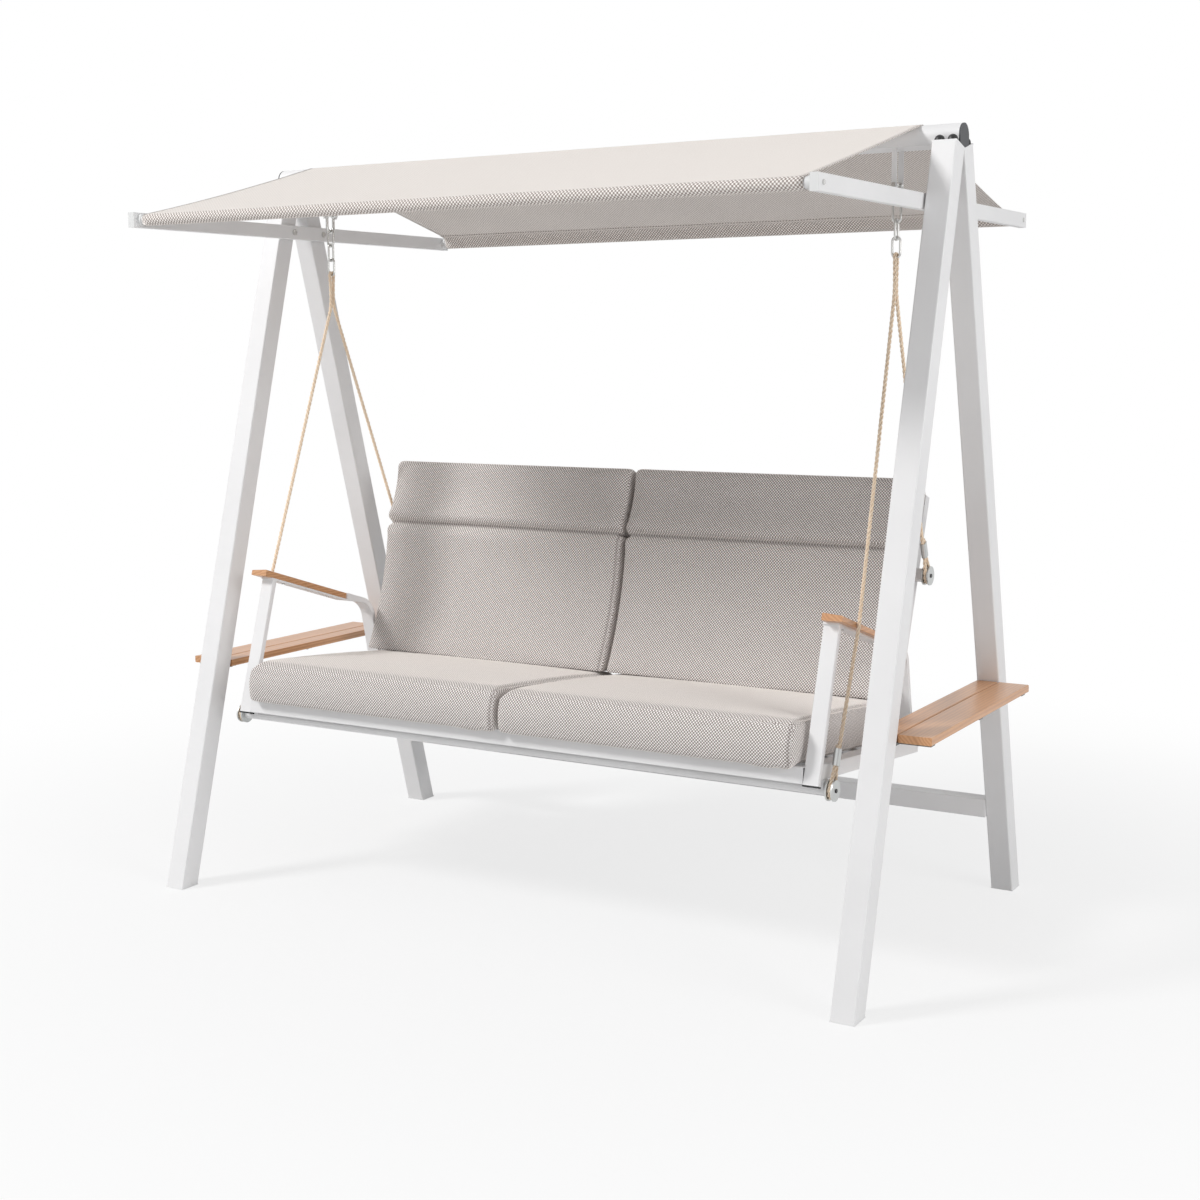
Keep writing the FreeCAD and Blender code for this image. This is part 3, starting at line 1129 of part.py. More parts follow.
def cushion(width, start_x, section, placement, end, drawn):
    """Lofts a section with a crown between two ends that round off as they draw in."""
    def wire(step, draw, crown):
        return cushion_wire(start_x + step, *section(draw * drawn, crown), placement)

    quarter = [math.radians(degrees) for degrees in (0, 30, 60, 90)]
    near = [wire(end * (1 - math.cos(turn)), 1 - math.sin(turn), 0) for turn in quarter]
    far = [wire(width - end * (1 - math.cos(turn)), 1 - math.sin(turn), 0) for turn in quarter]
    middle = [near[-1], wire(width / 2, 0, 1), far[-1]]
    ends = [Part.makeLoft(wires, True, False) for wires in (near, far)]
    return Part.makeLoft(middle, True, False).fuse(ends)


def seat_section(draw, crown):
    front, back = size.cushion_front + draw, size.side_rail_end - size.cushion_rear_gap - draw
    low, top = 0.2 * draw, size.cushion_thick - 0.4 * draw
    lip, lip_rear = low - size.cushion_lip, -size.cushion_lip_gap - 0.1 * draw
    rise = size.cushion_crown * (0.3 + 0.7 * crown)
    round_off = size.cushion_rounding - draw * 0.8
    corners = [(back, low), (lip_rear, low), (lip_rear, lip), (front, lip), (front, top), (back, top)]
    bows = [0.3, 0.3, 0.3, 6.0, rise, 4.0]
    return corners, bows, [round_off * 0.5, 0, round_off * 0.2, round_off * 0.5, round_off, round_off]


def back_section(draw, crown):
    low, top = draw, size.back_cushion_tall - draw
    groove = size.back_cushion_tall - size.head_tall
    rear, face, foot = -0.6 * draw, -size.back_cushion_thick + draw, -size.back_cushion_foot + draw
    swell = size.back_cushion_crown * (0.8 + 0.2 * crown)
    round_off = size.cushion_rounding - draw * 0.8
    slant = (foot - rear) * math.tan(back_lean - seat_slope)
    half = size.head_groove_half
    beside = face + half / 2
    corners = [(rear, top), (face, top), (face, groove + half), (face + size.head_groove, groove),
               (beside, groove - half), (foot, low + slant), (rear, low)]
    bows = [4.0, swell * 0.6, 2.0, 2.0, swell * 1.3, 1.0, 0.3]
    foot_round, groove_round = round_off * 0.3, half * 0.8
    roundings = [foot_round * 2, round_off * 0.8, groove_round, 0, groove_round, foot_round, foot_round]
    return corners, bows, roundings


cushion_level = size.front_rail_tall + size.cushion_rest
SEAT_CUSHION = in_seat(0, 0, cushion_level)
back_face = on_back(0, -size.back_tube / 2 - size.cushion_rest)
foot_level = cushion_level + size.cushion_thick + size.cushion_crown + size.back_cushion_lift
foot_drop = ((back_face[1] - size.seat_height) * math.cos(seat_slope)
             + (back_face[0] - size.seat_front) * math.sin(seat_slope)) - foot_level
back_foot = away(back_face, back_up, -foot_drop / math.cos(back_lean - seat_slope))
BACK_CUSHION = place(0, *back_foot, BACK_TURN)
half_gap = size.cushion_gap / 2
seat_width = seat_half - half_gap - size.cushion_side_gap
back_width = seat_half - half_gap - size.back_cushion_side_gap
for side_name, side in SIDES:
    seat_start = min(side * half_gap, side * (half_gap + seat_width))
    back_start = min(side * half_gap, side * (half_gap + back_width))
    seat_pad = cushion(seat_width, seat_start, seat_section, SEAT_CUSHION,
                       size.cushion_end, size.cushion_drawn)
    back_pad = cushion(back_width, back_start, back_section, BACK_CUSHION,
                       size.back_cushion_end, size.back_cushion_drawn)
    keep(solid_feature(seat_pad), f"seat_cushion_{side_name}")
    keep(solid_feature(back_pad), f"back_cushion_{side_name}")

# Every object is sound before anything is written
doc.recompute()
for item in doc.Objects:
    if "Invalid" in item.State or "Error" in item.State:
        users = ", ".join(user.Label for user in item.InListRecursive)
        raise RuntimeError(f"{item.Label} failed: {item.State}, used by {users}")
for part in sub_parts:
    if part.Shape.isNull() or not part.Shape.isValid():
        raise RuntimeError(f"{part.Label} has no sound shape")
os.makedirs("parts", exist_ok=True)
for part in sub_parts:
    part.Shape.exportStep(os.path.join("parts", f"{part.Label}.step"))
print(f"{len(sub_parts)} sub-parts written")
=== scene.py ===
import bpy
import json
import math
import numpy as np
from mathutils import Matrix, Vector

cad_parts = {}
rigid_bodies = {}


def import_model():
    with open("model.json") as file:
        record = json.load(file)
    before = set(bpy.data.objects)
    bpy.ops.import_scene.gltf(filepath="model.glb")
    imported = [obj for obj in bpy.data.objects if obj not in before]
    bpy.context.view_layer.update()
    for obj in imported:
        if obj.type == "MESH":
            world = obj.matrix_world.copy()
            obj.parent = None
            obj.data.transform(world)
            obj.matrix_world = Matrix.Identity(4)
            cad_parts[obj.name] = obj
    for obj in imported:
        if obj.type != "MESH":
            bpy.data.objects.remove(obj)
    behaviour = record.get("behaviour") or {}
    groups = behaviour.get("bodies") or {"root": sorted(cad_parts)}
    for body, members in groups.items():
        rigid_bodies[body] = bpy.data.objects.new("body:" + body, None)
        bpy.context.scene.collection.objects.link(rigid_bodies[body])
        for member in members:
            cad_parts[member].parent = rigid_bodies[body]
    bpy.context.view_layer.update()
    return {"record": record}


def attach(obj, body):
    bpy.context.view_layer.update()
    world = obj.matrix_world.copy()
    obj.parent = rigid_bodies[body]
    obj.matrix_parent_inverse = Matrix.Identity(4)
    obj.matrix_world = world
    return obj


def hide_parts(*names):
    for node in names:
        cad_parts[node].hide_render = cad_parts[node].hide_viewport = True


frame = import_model()
scene = bpy.context.scene
scene.view_settings.view_transform = "Standard"
bpy.ops.object.select_all(action="DESELECT")

# Camera, in front of the swing's right end and a little under head height
CAMERA_PLACE = (2.4299, -4.0456, 1.4806)
YAW, PITCH, ROLL = (math.radians(degrees) for degrees in (30.65, -8.197, -0.326))
SENSOR_WIDE, LENS_LONG = 36, 52.85
ahead = Vector((-math.sin(YAW) * math.cos(PITCH), math.cos(YAW) * math.cos(PITCH), math.sin(PITCH)))
level = Vector((math.cos(YAW), math.sin(YAW), 0))
upright = level.cross(ahead)
across = level * math.cos(ROLL) + upright * math.sin(ROLL)
above = upright * math.cos(ROLL) - level * math.sin(ROLL)
bpy.ops.object.camera_add(location=CAMERA_PLACE)
camera = bpy.context.object
camera.rotation_euler = Matrix((across, above, -ahead)).transposed().to_euler()
camera.data.sensor_width = SENSOR_WIDE
camera.data.lens = LENS_LONG
scene.camera = camera

# Ropes: three-strand rope with an eye round each disc and a bight in the chain's ring
STRAND_THICK, STRAND_SET, STRAND_LAY, STRAND_SIDES = 0.00232, 0.00268, 0.040, 8
ROUTE_STEP, ROUTE_SMOOTH = 0.0028, 160
FRONT_EYE = {"x": 0.884, "middle": (-0.400, 0.472), "lean": (0.33032, 0.94387)}
REAR_EYE = {"x": 0.846, "middle": (0.300, 0.885), "lean": (-0.38111, 0.92454)}
EYE = [(0.105, -0.0051), (0.057, -0.0051), (0.049, -0.0051), (0.0130, -0.0148), (-0.0038, -0.0194),
       (-0.0177, -0.0087), (-0.0177, 0.0087), (-0.0038, 0.0194), (0.0130, 0.0148), (0.049, 0.0051),
       (0.057, 0.0051), (0.097, 0.0051), (0.105, 0.0051)]
HANGING_RUN = [(0.8883, -0.2880, 0.7797), (0.8899, -0.2685, 0.8365), (0.8873, -0.2489, 0.8932),
               (0.8615, -0.01911, 1.55975), (0.860, -0.0051, 1.6004), (0.860, -0.0051, 1.6434),
               (0.860, -0.0083, 1.6864), (0.860, -0.0083, 1.6947), (0.860, 0.0083, 1.6947),
               (0.860, 0.0083, 1.6864), (0.860, 0.0051, 1.6434), (0.860, 0.0051, 1.6004),
               (0.8591, 0.02118, 1.56052)]


def eye_route(disc, inner):
    """The route of an eye, from its short tail round the disc to the run that hangs."""
    (y, z), (lean_y, lean_z) = disc["middle"], disc["lean"]
    return [(disc["x"], y + lean_y * rise + inner[0] * step, z + lean_z * rise + inner[1] * step)
            for rise, step in EYE]


front_inner = (FRONT_EYE["lean"][1], -FRONT_EYE["lean"][0])
rear_inner = (-REAR_EYE["lean"][1], REAR_EYE["lean"][0])
ROPE_ROUTE = eye_route(FRONT_EYE, front_inner) + HANGING_RUN + eye_route(REAR_EYE, rear_inner)[::-1]


def route_line(route):
    """Points on the smooth line of a route, about a quarter of a rope's thickness apart."""
    curve = bpy.data.curves.new("rope_route", "CURVE")
    curve.dimensions = "3D"
    spline = curve.splines.new("NURBS")
    spline.points.add(len(route) - 1)
    for point, place in zip(spline.points, route):
        point.co = (*place, 1)
    spline.order_u = 3
    spline.use_endpoint_u = True
    spline.resolution_u = ROUTE_SMOOTH
    holder = bpy.data.objects.new("rope_route", curve)
    line = bpy.data.meshes.new_from_object(holder)
    points = [vertex.co.copy() for vertex in line.vertices]
    bpy.data.objects.remove(holder)
    bpy.data.meshes.remove(line)
    kept = [points[0]]
    for point in points[1:-1]:
        if (point - kept[-1]).length > ROUTE_STEP and (point - points[-1]).length > ROUTE_STEP / 2:
            kept.append(point)
    return kept + [points[-1]]


def laid_rope(name, points, hand):
    """Three strands laid round the line of points, each with a map of its length and its girth."""
    runs = [(b - a).normalized() for a, b in zip(points, points[1:])]
    tangents = [(a + b).normalized() for a, b in zip([runs[0]] + runs, runs + [runs[-1]])]
    side = tangents[0].orthogonal().normalized()
    lengths, sides = [0.0], [side]
    for number in range(1, len(points)):
        side = (side - tangents[number] * side.dot(tangents[number])).normalized()
        sides.append(side)
        lengths.append(lengths[-1] + (points[number] - points[number - 1]).length)
    corners, faces, maps = [], [], []
    for strand in range(3):
        start = len(corners)
        for point, tangent, side, length in zip(points, tangents, sides, lengths):
            turn = hand * math.tau * length / STRAND_LAY + math.tau * strand / 3
            other = tangent.cross(side)
            centre = point + (side * math.cos(turn) + other * math.sin(turn)) * STRAND_SET
            for step in range(STRAND_SIDES):
                angle = turn + math.tau * step / STRAND_SIDES
                corners.append(centre + (side * math.cos(angle) + other * math.sin(angle)) * STRAND_THICK)
        for ring in range(len(points) - 1):
            for step in range(STRAND_SIDES):
                onward = (step + 1) % STRAND_SIDES
                a, b = start + ring * STRAND_SIDES, start + (ring + 1) * STRAND_SIDES
                faces.append((a + step, a + onward, b + onward, b + step))
                u0, u1 = lengths[ring], lengths[ring + 1]
                v0, v1 = step / STRAND_SIDES, (step + 1) / STRAND_SIDES
                maps += [(u0, v0), (u0, v1), (u1, v1), (u1, v0)]
        last = start + (len(points) - 1) * STRAND_SIDES
        faces.append(tuple(range(start + STRAND_SIDES - 1, start - 1, -1)))
        faces.append(tuple(range(last, last + STRAND_SIDES)))
        maps += [(0.0, 0.5)] * STRAND_SIDES + [(lengths[-1], 0.5)] * STRAND_SIDES
    mesh = bpy.data.meshes.new(name)
    mesh.from_pydata(corners, [], faces)
    mesh.uv_layers.new(name="lay").uv.foreach_set("vector", np.array(maps, np.float32).ravel())
    mesh.polygons.foreach_set("use_smooth", [True] * len(mesh.polygons))
    rope = bpy.data.objects.new(name, mesh)
    scene.collection.objects.link(rope)
    return rope


SIDES = [("left", -1), ("right", 1)]
ropes = []
for side_name, side in SIDES:
    route = [(side * x, y, z) for x, y, z in ROPE_ROUTE]
    line = route_line(route)
    rope = laid_rope(f"laid_rope_{side_name}", line, side)
    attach(rope, "seat")
    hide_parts(f"rope_{side_name}")
    ropes.append(rope)

# Roof: one sheet over the ridge, sewn round a rod at the front and at the back
ROOF_HALF, ROOF_THICK, ROOF_SAG, ROOF_PULL = 0.921, 0.0016, 0.006, 0.004
ROD, ROD_WRAP = (0.666, 1.808), 0.0143
CREST, CREST_WRAP = (0.0, 1.95895), 0.0313
ROOF_SLOPE, SLOPE_LONG = math.radians(14.20), 0.681
RIPPLES, RIPPLE_LEAN, RIPPLE_SHARE = 5.3, 2.2, 0.18
CREST_STEPS, SLOPE_STEPS, WRAP_STEPS, WRAP_TURN = 4, 40, 14, 15
ROOF_COLUMNS = 97
HEM_LAP = 0.0019
HEM_RUN = [(0.0175, 0.0170), (0.0205, 0.0105), (0.0240, 0.0052), (0.0285, 0.0016), (0.0330, 0.0),
           (0.0385, 0.0), (0.0440, 0.0), (0.0480, 0.0)]


def roof_half_line():
    """Half of the sheet's section from the crest to its hem: (y, z, share of the sag)."""
    def round_point(middle, radius, degrees):
        angle = math.radians(degrees)
        return (middle[0] + radius * math.cos(angle), middle[1] + radius * math.sin(angle))

    lean = 90 - math.degrees(ROOF_SLOPE)
    line = [(*round_point(CREST, CREST_WRAP, 90 + (lean - 90) * step / CREST_STEPS), 0.0)
            for step in range(CREST_STEPS)]
    top, foot = round_point(CREST, CREST_WRAP, lean), round_point(ROD, ROD_WRAP, lean)
    for step in range(SLOPE_STEPS + 1):
        share = step / SLOPE_STEPS
        y, z = top[0] + (foot[0] - top[0]) * share, top[1] + (foot[1] - top[1]) * share
        line.append((y, z, 4 * share * (1 - share)))
    line += [(*round_point(ROD, ROD_WRAP, lean - WRAP_TURN * step), 0.0)
             for step in range(1, WRAP_STEPS + 1)]
    inward = (-math.cos(ROOF_SLOPE), math.sin(ROOF_SLOPE))
    under = (foot[0] - HEM_LAP * math.sin(ROOF_SLOPE), foot[1] - HEM_LAP * math.cos(ROOF_SLOPE))
    for reach, drop in HEM_RUN:
        share = 1 - reach / SLOPE_LONG
        y, z = under[0] + inward[0] * reach, under[1] + inward[1] * reach - drop
        line.append((y, z, 4 * share * (1 - share)))
    return line


def sewn_roof():
    """The roof, sagging a little between its edges, and the length of its cloth from hem to hem."""
    half = roof_half_line()
    line = [(-y, z, sag) for y, z, sag in half[:0:-1]] + half
    lengths = [0.0]
    for (y0, z0, _), (y1, z1, _) in zip(line, line[1:]):
        lengths.append(lengths[-1] + math.hypot(y1 - y0, z1 - z0))
    rows = len(line)
    corners, faces, maps = [], [], []
    for column in range(ROOF_COLUMNS):
        share = column / (ROOF_COLUMNS - 1) * 2 - 1
        for y, z, sag in line:
            x = share * (ROOF_HALF - ROOF_PULL * sag)
            ripple = 1 - RIPPLE_SHARE + RIPPLE_SHARE * math.cos(RIPPLES * math.pi * share + RIPPLE_LEAN * y)
            corners.append((x, y, z - ROOF_SAG * sag * ripple))
    for column in range(ROOF_COLUMNS - 1):
        for row in range(rows - 1):
            a, b = column * rows + row, (column + 1) * rows + row
            faces.append((a, b, b + 1, a + 1))
            u0, u1 = (ROOF_HALF * (2 * c / (ROOF_COLUMNS - 1) - 1) for c in (column, column + 1))
            v0, v1 = lengths[row], lengths[row + 1]
            maps += [(u0, v0), (u1, v0), (u1, v1), (u0, v1)]
    mesh = bpy.data.meshes.new("sewn_roof")
    mesh.from_pydata(corners, [], faces)
    mesh.uv_layers.new(name="cut").uv.foreach_set("vector", np.array(maps, np.float32).ravel())
    roof = bpy.data.objects.new("sewn_roof", mesh)
    scene.collection.objects.link(roof)
    bpy.context.view_layer.objects.active = roof
    thick = roof.modifiers.new("cloth_thickness", "SOLIDIFY")
    thick.thickness = ROOF_THICK
    thick.offset = 0
    bpy.ops.object.modifier_apply(modifier=thick.name)
    roof.data.polygons.foreach_set("use_smooth", [True] * len(roof.data.polygons))
    return roof, lengths[-1]


roof, roof_cut = sewn_roof()
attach(roof, "frame")
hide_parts("roof_fabric")

# Cushions: covers swelled over their filling, sewn down along their seams
SEAT_FALL, BACK_LEAN = math.radians(5.5), math.radians(20)
SEAT_PLANE = {"start": Vector((0, -0.441, 0.488)),
              "deep": Vector((0, math.cos(SEAT_FALL), -math.sin(SEAT_FALL))),
              "tall": Vector((0, math.sin(SEAT_FALL), math.cos(SEAT_FALL)))}
BACK_PLANE = {"start": Vector((0, 0.1738, 0.5828)),
              "deep": Vector((0, -math.cos(BACK_LEAN), math.sin(BACK_LEAN))),
              "tall": Vector((0, math.sin(BACK_LEAN), math.cos(BACK_LEAN)))}
SEAT_STEP, BACK_STEP = 0.816, 0.826
SEAT_FOOT, SEAT_TOP = 0.0408, 0.1522
SEAT_END_SEAM, SEAT_END_FOOT = SEAT_STEP - 0.012, 0.036
BACK_END_SEAM, BACK_FACE, HEAD_SEAM = BACK_STEP - 0.016, 0.05, 0.360
GROOVE_WIDE, GROOVE_DEEP = 0.012, 0.012
# The last is the width of the painted shade along a seam.
STITCH_WIDE, STITCH_DEEP, SEAM_SHADE_WIDE = 0.0045, 0.003, 0.003
BACK_TOP, HEAD_CORNER = 0.558, 0.024
SEAT_CORNER, SEWN_CORNER, FOOT_CORNER = 0.054, 0.030, 0.032
# The first is the height up to which the cover's low part gets painted shadow.
UNDERSIDE_SHADE_TOP, LIP_DEEP = 0.0495, 0.03
RAIL_FRONT, BACK_FOOT_DEEP, SEAT_RISE = -0.0012, 0.505, 0.35
END_GAP, REAR_GAP, REST_GAP = 0.0008, 0.0005, 0.0004
SLUMP, SLUMP_TALL = 0.012, 0.16
COVER_CELL, COVER_INSET, SWELL_CAP, SWELL_FORCE, SWELL_FRAMES = 0.007, 0.0015, 0.004, 4, 20
SEWN_HALF, EDGE_STEP, FAR = 0.006, 0.02, 1.0


def places(mesh):
    """The places of a mesh's vertices, a row each."""
    found = np.empty(len(mesh.vertices) * 3)
    mesh.vertices.foreach_get("co", found)
    return found.reshape(-1, 3)


def in_plane(points, plane):
    """Places across, along the depth and along the height of a cushion."""
    away = points - np.array(plane["start"])
    return np.stack([points[:, 0], away @ np.array(plane["deep"]), away @ np.array(plane["tall"])], 1)


def out_of_plane(points, plane):
    """The way back from a cushion's own directions."""
    flat = np.outer(points[:, 1], plane["deep"]) + np.outer(points[:, 2], plane["tall"])
    flat[:, 0] += points[:, 0]
    return flat + np.array(plane["start"])


def normals(mesh):
    """The outward directions at a mesh's vertices, a row each."""
    found = np.empty(len(mesh.vertices) * 3, np.float32)
    mesh.vertex_normals.foreach_get("vector", found)
    return found.reshape(-1, 3).astype(float)


def apply_last(piece):
    bpy.context.view_layer.objects.active = piece
    bpy.ops.object.modifier_apply(modifier=piece.modifiers[-1].name)


def filled_cover(node, name, plane, seams, rested):
    """A cushion grown from its CAD solid: an even cover, blown up between its seams and sewn in there."""
    mesh = bpy.data.objects[node].data.copy()
    cover = bpy.data.objects.new(name, mesh)
    scene.collection.objects.link(cover)
    bpy.ops.object.select_all(action="DESELECT")
    cover.select_set(True)
    remesh = cover.modifiers.new("even_cover", "REMESH")
    remesh.mode = "VOXEL"
    remesh.voxel_size = COVER_CELL
    apply_last(cover)
    even = cover.modifiers.new("even_out", "SMOOTH")
    even.factor, even.iterations = 0.5, 3
    apply_last(cover)
    mesh = cover.data
    start = places(mesh) - normals(mesh) * COVER_INSET
    mesh.vertices.foreach_set("co", start.ravel())
    mesh.update()
    sewn = cover.vertex_groups.new(name="sewn")
    distance = seams(in_plane(start, plane))[0]
    for number in np.flatnonzero(distance < SEWN_HALF):
        sewn.add([int(number)], 1.0, "REPLACE")
    cloth = cover.modifiers.new("swell", "CLOTH")
    cloth.settings.quality = 4
    cloth.settings.vertex_group_mass = "sewn"
    cloth.settings.use_pressure = True
    cloth.settings.uniform_pressure_force = SWELL_FORCE
    cloth.settings.effector_weights.gravity = 0
    cloth.point_cache.frame_start, cloth.point_cache.frame_end = 1, SWELL_FRAMES
    for number in range(1, SWELL_FRAMES + 1):
        scene.frame_set(number)
    apply_last(cover)
    scene.frame_set(1)
    cover.vertex_groups.clear()
    moved = places(cover.data) - start
    reach = np.linalg.norm(moved, axis=1, keepdims=True)
    moved *= SWELL_CAP * np.tanh(reach / SWELL_CAP) / np.maximum(reach, 1e-9)
    cover.data.vertices.foreach_set("co", (start + moved).ravel())
    finer = cover.modifiers.new("finer_cover", "SUBSURF")
    finer.levels = finer.render_levels = 1
    apply_last(cover)
    mesh = cover.data
    distance, depth = seams(in_plane(places(mesh), plane))
    mesh.vertices.foreach_set("co", rested(places(mesh) - normals(mesh) * depth[:, None]).ravel())
    mesh.update()
    # Painted shade along the seams' creases, kept as the seam attribute.
    seam_shade = mesh.attributes.new("seam", "FLOAT", "POINT")
    seam_shade.data.foreach_set("value", np.exp(-(distance / SEAM_SHADE_WIDE) ** 2).astype(np.float32))
    deep, tall = in_plane(places(mesh), SEAT_PLANE).T[1:]
    # Painted shadow: the cover's low part behind the front lip is marked, where the gap under the cushion
    # is in shade.
    base = mesh.attributes.new("base", "FLOAT", "POINT")
    base.data.foreach_set("value", ((tall < UNDERSIDE_SHADE_TOP) & (deep > LIP_DEEP)).astype(np.float32))
    mesh.polygons.foreach_set("use_smooth", [True] * len(mesh.polygons))
    return cover


def weave_map(cover, plane):
    """A map in metres with each panel cut straight: the faces across, the ends along the depth."""
    mesh = cover.data
    local = in_plane(places(mesh), plane)
    count = len(mesh.polygons)
    face_normals = np.empty(count * 3, np.float32)
    mesh.polygon_normals.foreach_get("vector", face_normals)
    totals = np.empty(count, np.int32)
    mesh.polygons.foreach_get("loop_total", totals)
    turned = in_plane(face_normals.reshape(-1, 3) + np.array(plane["start"]), plane)
    across, deep, tall = np.abs(np.repeat(turned, totals, axis=0)).T
    corner_vertices = np.empty(len(mesh.loops), np.int32)
    mesh.loops.foreach_get("vertex_index", corner_vertices)
    spots = local[corner_vertices]
    end = across > np.maximum(deep, tall)
    u = np.where(end, spots[:, 1], spots[:, 0])
    v = np.where(~end & (tall > deep), spots[:, 1], spots[:, 2])
    cut = mesh.uv_layers.new(name="cut")
    cut.uv.foreach_set("vector", np.stack([u, v], 1).astype(np.float32).ravel())


def shifted(piece, name, step):
    """A copy of a cushion, moved along the bench."""
    twin = piece.copy()
    twin.data = piece.data.copy()
    twin.name = twin.data.name = name
    scene.collection.objects.link(twin)
    twin.data.transform(Matrix.Translation((step, 0, 0)))
    return twin


def sewn_in(distance):
    """The depth to which a seam's stitches pull the cover in."""
    return STITCH_DEEP * np.exp(-(distance / STITCH_WIDE) ** 2)


def creased(distance):
    """The depth of the groove between two rounded shoulders."""
    near = np.clip(1 - distance / GROOVE_WIDE, 0, 1)
    return GROOVE_DEEP * (1 - np.sqrt(1 - near ** 2))


def seat_seams(local):
    """The end panel at the sitter's left is sewn to the front and the top."""
    x, deep, tall = local.T
    distance = np.where(tall > SEAT_END_FOOT, np.abs(x - SEAT_END_SEAM), FAR)
    return distance, sewn_in(distance)


def back_seams(local):
    """The groove under the head roll, and the end panel's seam below it."""
    x, deep, tall = local.T
    head_seam = np.where(deep > BACK_FACE, np.abs(tall - HEAD_SEAM), FAR)
    end_seam = np.where((deep > BACK_FACE) & (tall < HEAD_SEAM), np.abs(x - BACK_END_SEAM), FAR)
    return np.minimum(head_seam, end_seam), np.maximum(creased(head_seam), sewn_in(end_seam))


def corner_rounded(x, tall, middle, edge, corner):
    """Rounds both ends of a cushion's upper edge, or of its lower edge where the heights are negative."""
    out = np.abs(x - middle) - (middle - corner)
    up = tall - (edge - corner)
    reach = np.maximum(np.hypot(out, up), 1e-9)
    pulled = np.where((out > 0) & (up > 0), np.minimum(corner / reach, 1), 1)
    rounded = x - np.sign(x - middle) * np.maximum(out, 0) * (1 - pulled)
    return rounded, tall - np.maximum(up, 0) * (1 - pulled)


def edge_line(deep, tall):
    """The height of the cover's upper edge at each place along its depth."""
    slots = ((deep - deep.min()) / EDGE_STEP).astype(int)
    tops = np.full(slots.max() + 1, -1.0)
    np.maximum.at(tops, slots, tall)
    return np.interp(deep, deep.min() + (np.arange(len(tops)) + 0.5) * EDGE_STEP, tops)


def seat_rested(points):
    """Flat on the slats and under the back cushion, with the front lip before the rail."""
    x, deep, tall = in_plane(points, SEAT_PLANE).T
    middle = SEAT_STEP / 2
    corner = np.where(x < middle, SEAT_CORNER, SEWN_CORNER)
    x, tall = corner_rounded(x, tall, middle, edge_line(deep, tall), corner)
    x, drop = corner_rounded(x, -tall, middle, edge_line(deep, -tall), FOOT_CORNER)
    tall = -drop
    over_rail = np.where(deep > RAIL_FRONT, SEAT_FOOT, 0.0)
    under_back = SEAT_TOP + np.maximum(BACK_FOOT_DEEP - deep, 0) * SEAT_RISE
    x = np.clip(x, END_GAP, SEAT_STEP - END_GAP)
    return out_of_plane(np.stack([x, deep, np.clip(tall, over_rail, under_back)], 1), SEAT_PLANE)


def back_rested(points):
    """Flat against the back frame, and pressed down on the seat cushion."""
    x, deep, tall = in_plane(points, BACK_PLANE).T
    x = np.clip(x, END_GAP, BACK_STEP - END_GAP)
    x, tall = corner_rounded(x, tall, BACK_STEP / 2, BACK_TOP, HEAD_CORNER)
    flat = np.stack([x, np.maximum(deep, REAR_GAP), tall], 1)
    local = in_plane(out_of_plane(flat, BACK_PLANE), SEAT_PLANE)
    low = np.clip(1 - (local[:, 2] - SEAT_TOP) / SLUMP_TALL, 0, 1)
    local[:, 2] = np.maximum(local[:, 2] - SLUMP * low ** 2, SEAT_TOP + REST_GAP)
    return out_of_plane(local, SEAT_PLANE)


seat_cushion = filled_cover("seat_cushion_right", "seat_pad_right", SEAT_PLANE, seat_seams, seat_rested)
back_cushion = filled_cover("back_cushion_right", "back_pad_right", BACK_PLANE, back_seams, back_rested)
weave_map(seat_cushion, SEAT_PLANE)
weave_map(back_cushion, BACK_PLANE)
cushions = []
for cushion, kind, step in ((seat_cushion, "seat", SEAT_STEP), (back_cushion, "back", BACK_STEP)):
    for piece, side_name in ((cushion, "right"), (shifted(cushion, f"{kind}_pad_left", -step), "left")):
        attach(piece, "seat")
        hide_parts(f"{kind}_cushion_{side_name}")
        cushions.append(piece)


# Finishes
class Socket:
    """A value in a finish, on which sums are written plainly."""

    def __init__(self, finish, output):
        self.finish, self.output = finish, output

    def sum(self, operation, *values):
        return self.finish.node("Math", {"operation": operation}, dict(enumerate(values)))

    def __add__(self, other):
        return self.sum("ADD", self, other)

    def __radd__(self, other):
        return self.sum("ADD", other, self)

    def __sub__(self, other):
        return self.sum("SUBTRACT", self, other)

    def __rsub__(self, other):
        return self.sum("SUBTRACT", other, self)

    def __mul__(self, other):
        return self.sum("MULTIPLY", self, other)

    def __rmul__(self, other):
        return self.sum("MULTIPLY", other, self)

    def __truediv__(self, other):
        return self.sum("DIVIDE", self, other)

    def __mod__(self, other):
        return self.sum("FLOORED_MODULO", self, other)

    def __abs__(self):
        return self.sum("ABSOLUTE", self)

    def __lt__(self, other):
        return self.sum("LESS_THAN", self, other)

    def __gt__(self, other):
        return self.sum("GREATER_THAN", self, other)

    def floor(self):
        return self.sum("FLOOR", self)

    def larger(self, other):
        return self.sum("MAXIMUM", self, other)


class Nodes:
    """A tree of nodes, with a method that adds any node."""

    def __init__(self, tree):
        self.tree = tree

    def node(self, kind, settings=None, inputs=None, output=0):
        made = self.tree.nodes.new("ShaderNode" + kind)
        for key, value in (settings or {}).items():
            if key == "stops":
                ramp = made.color_ramp.elements
                for number, (place, color) in enumerate(value):
                    stop = ramp[number] if number < len(ramp) else ramp.new(place)
                    stop.position, stop.color = place, (*color, 1)
            else:
                setattr(made, key, value)
        for key, value in (inputs or {}).items():
            self.feed(made.inputs[key], value)
        return Socket(self, made.outputs[output])

    def feed(self, socket, value):
        if isinstance(value, Socket):
            self.tree.links.new(value.output, socket)
        else:
            socket.default_value = value

    def seen(self):
        """One for rays that show the background itself: straight, mirrored or through glass."""
        rays = ("Is Camera Ray", "Is Glossy Ray", "Is Transmission Ray")
        straight, mirrored, through = (self.node("LightPath", output=kind) for kind in rays)
        return straight.larger(mirrored).larger(through)


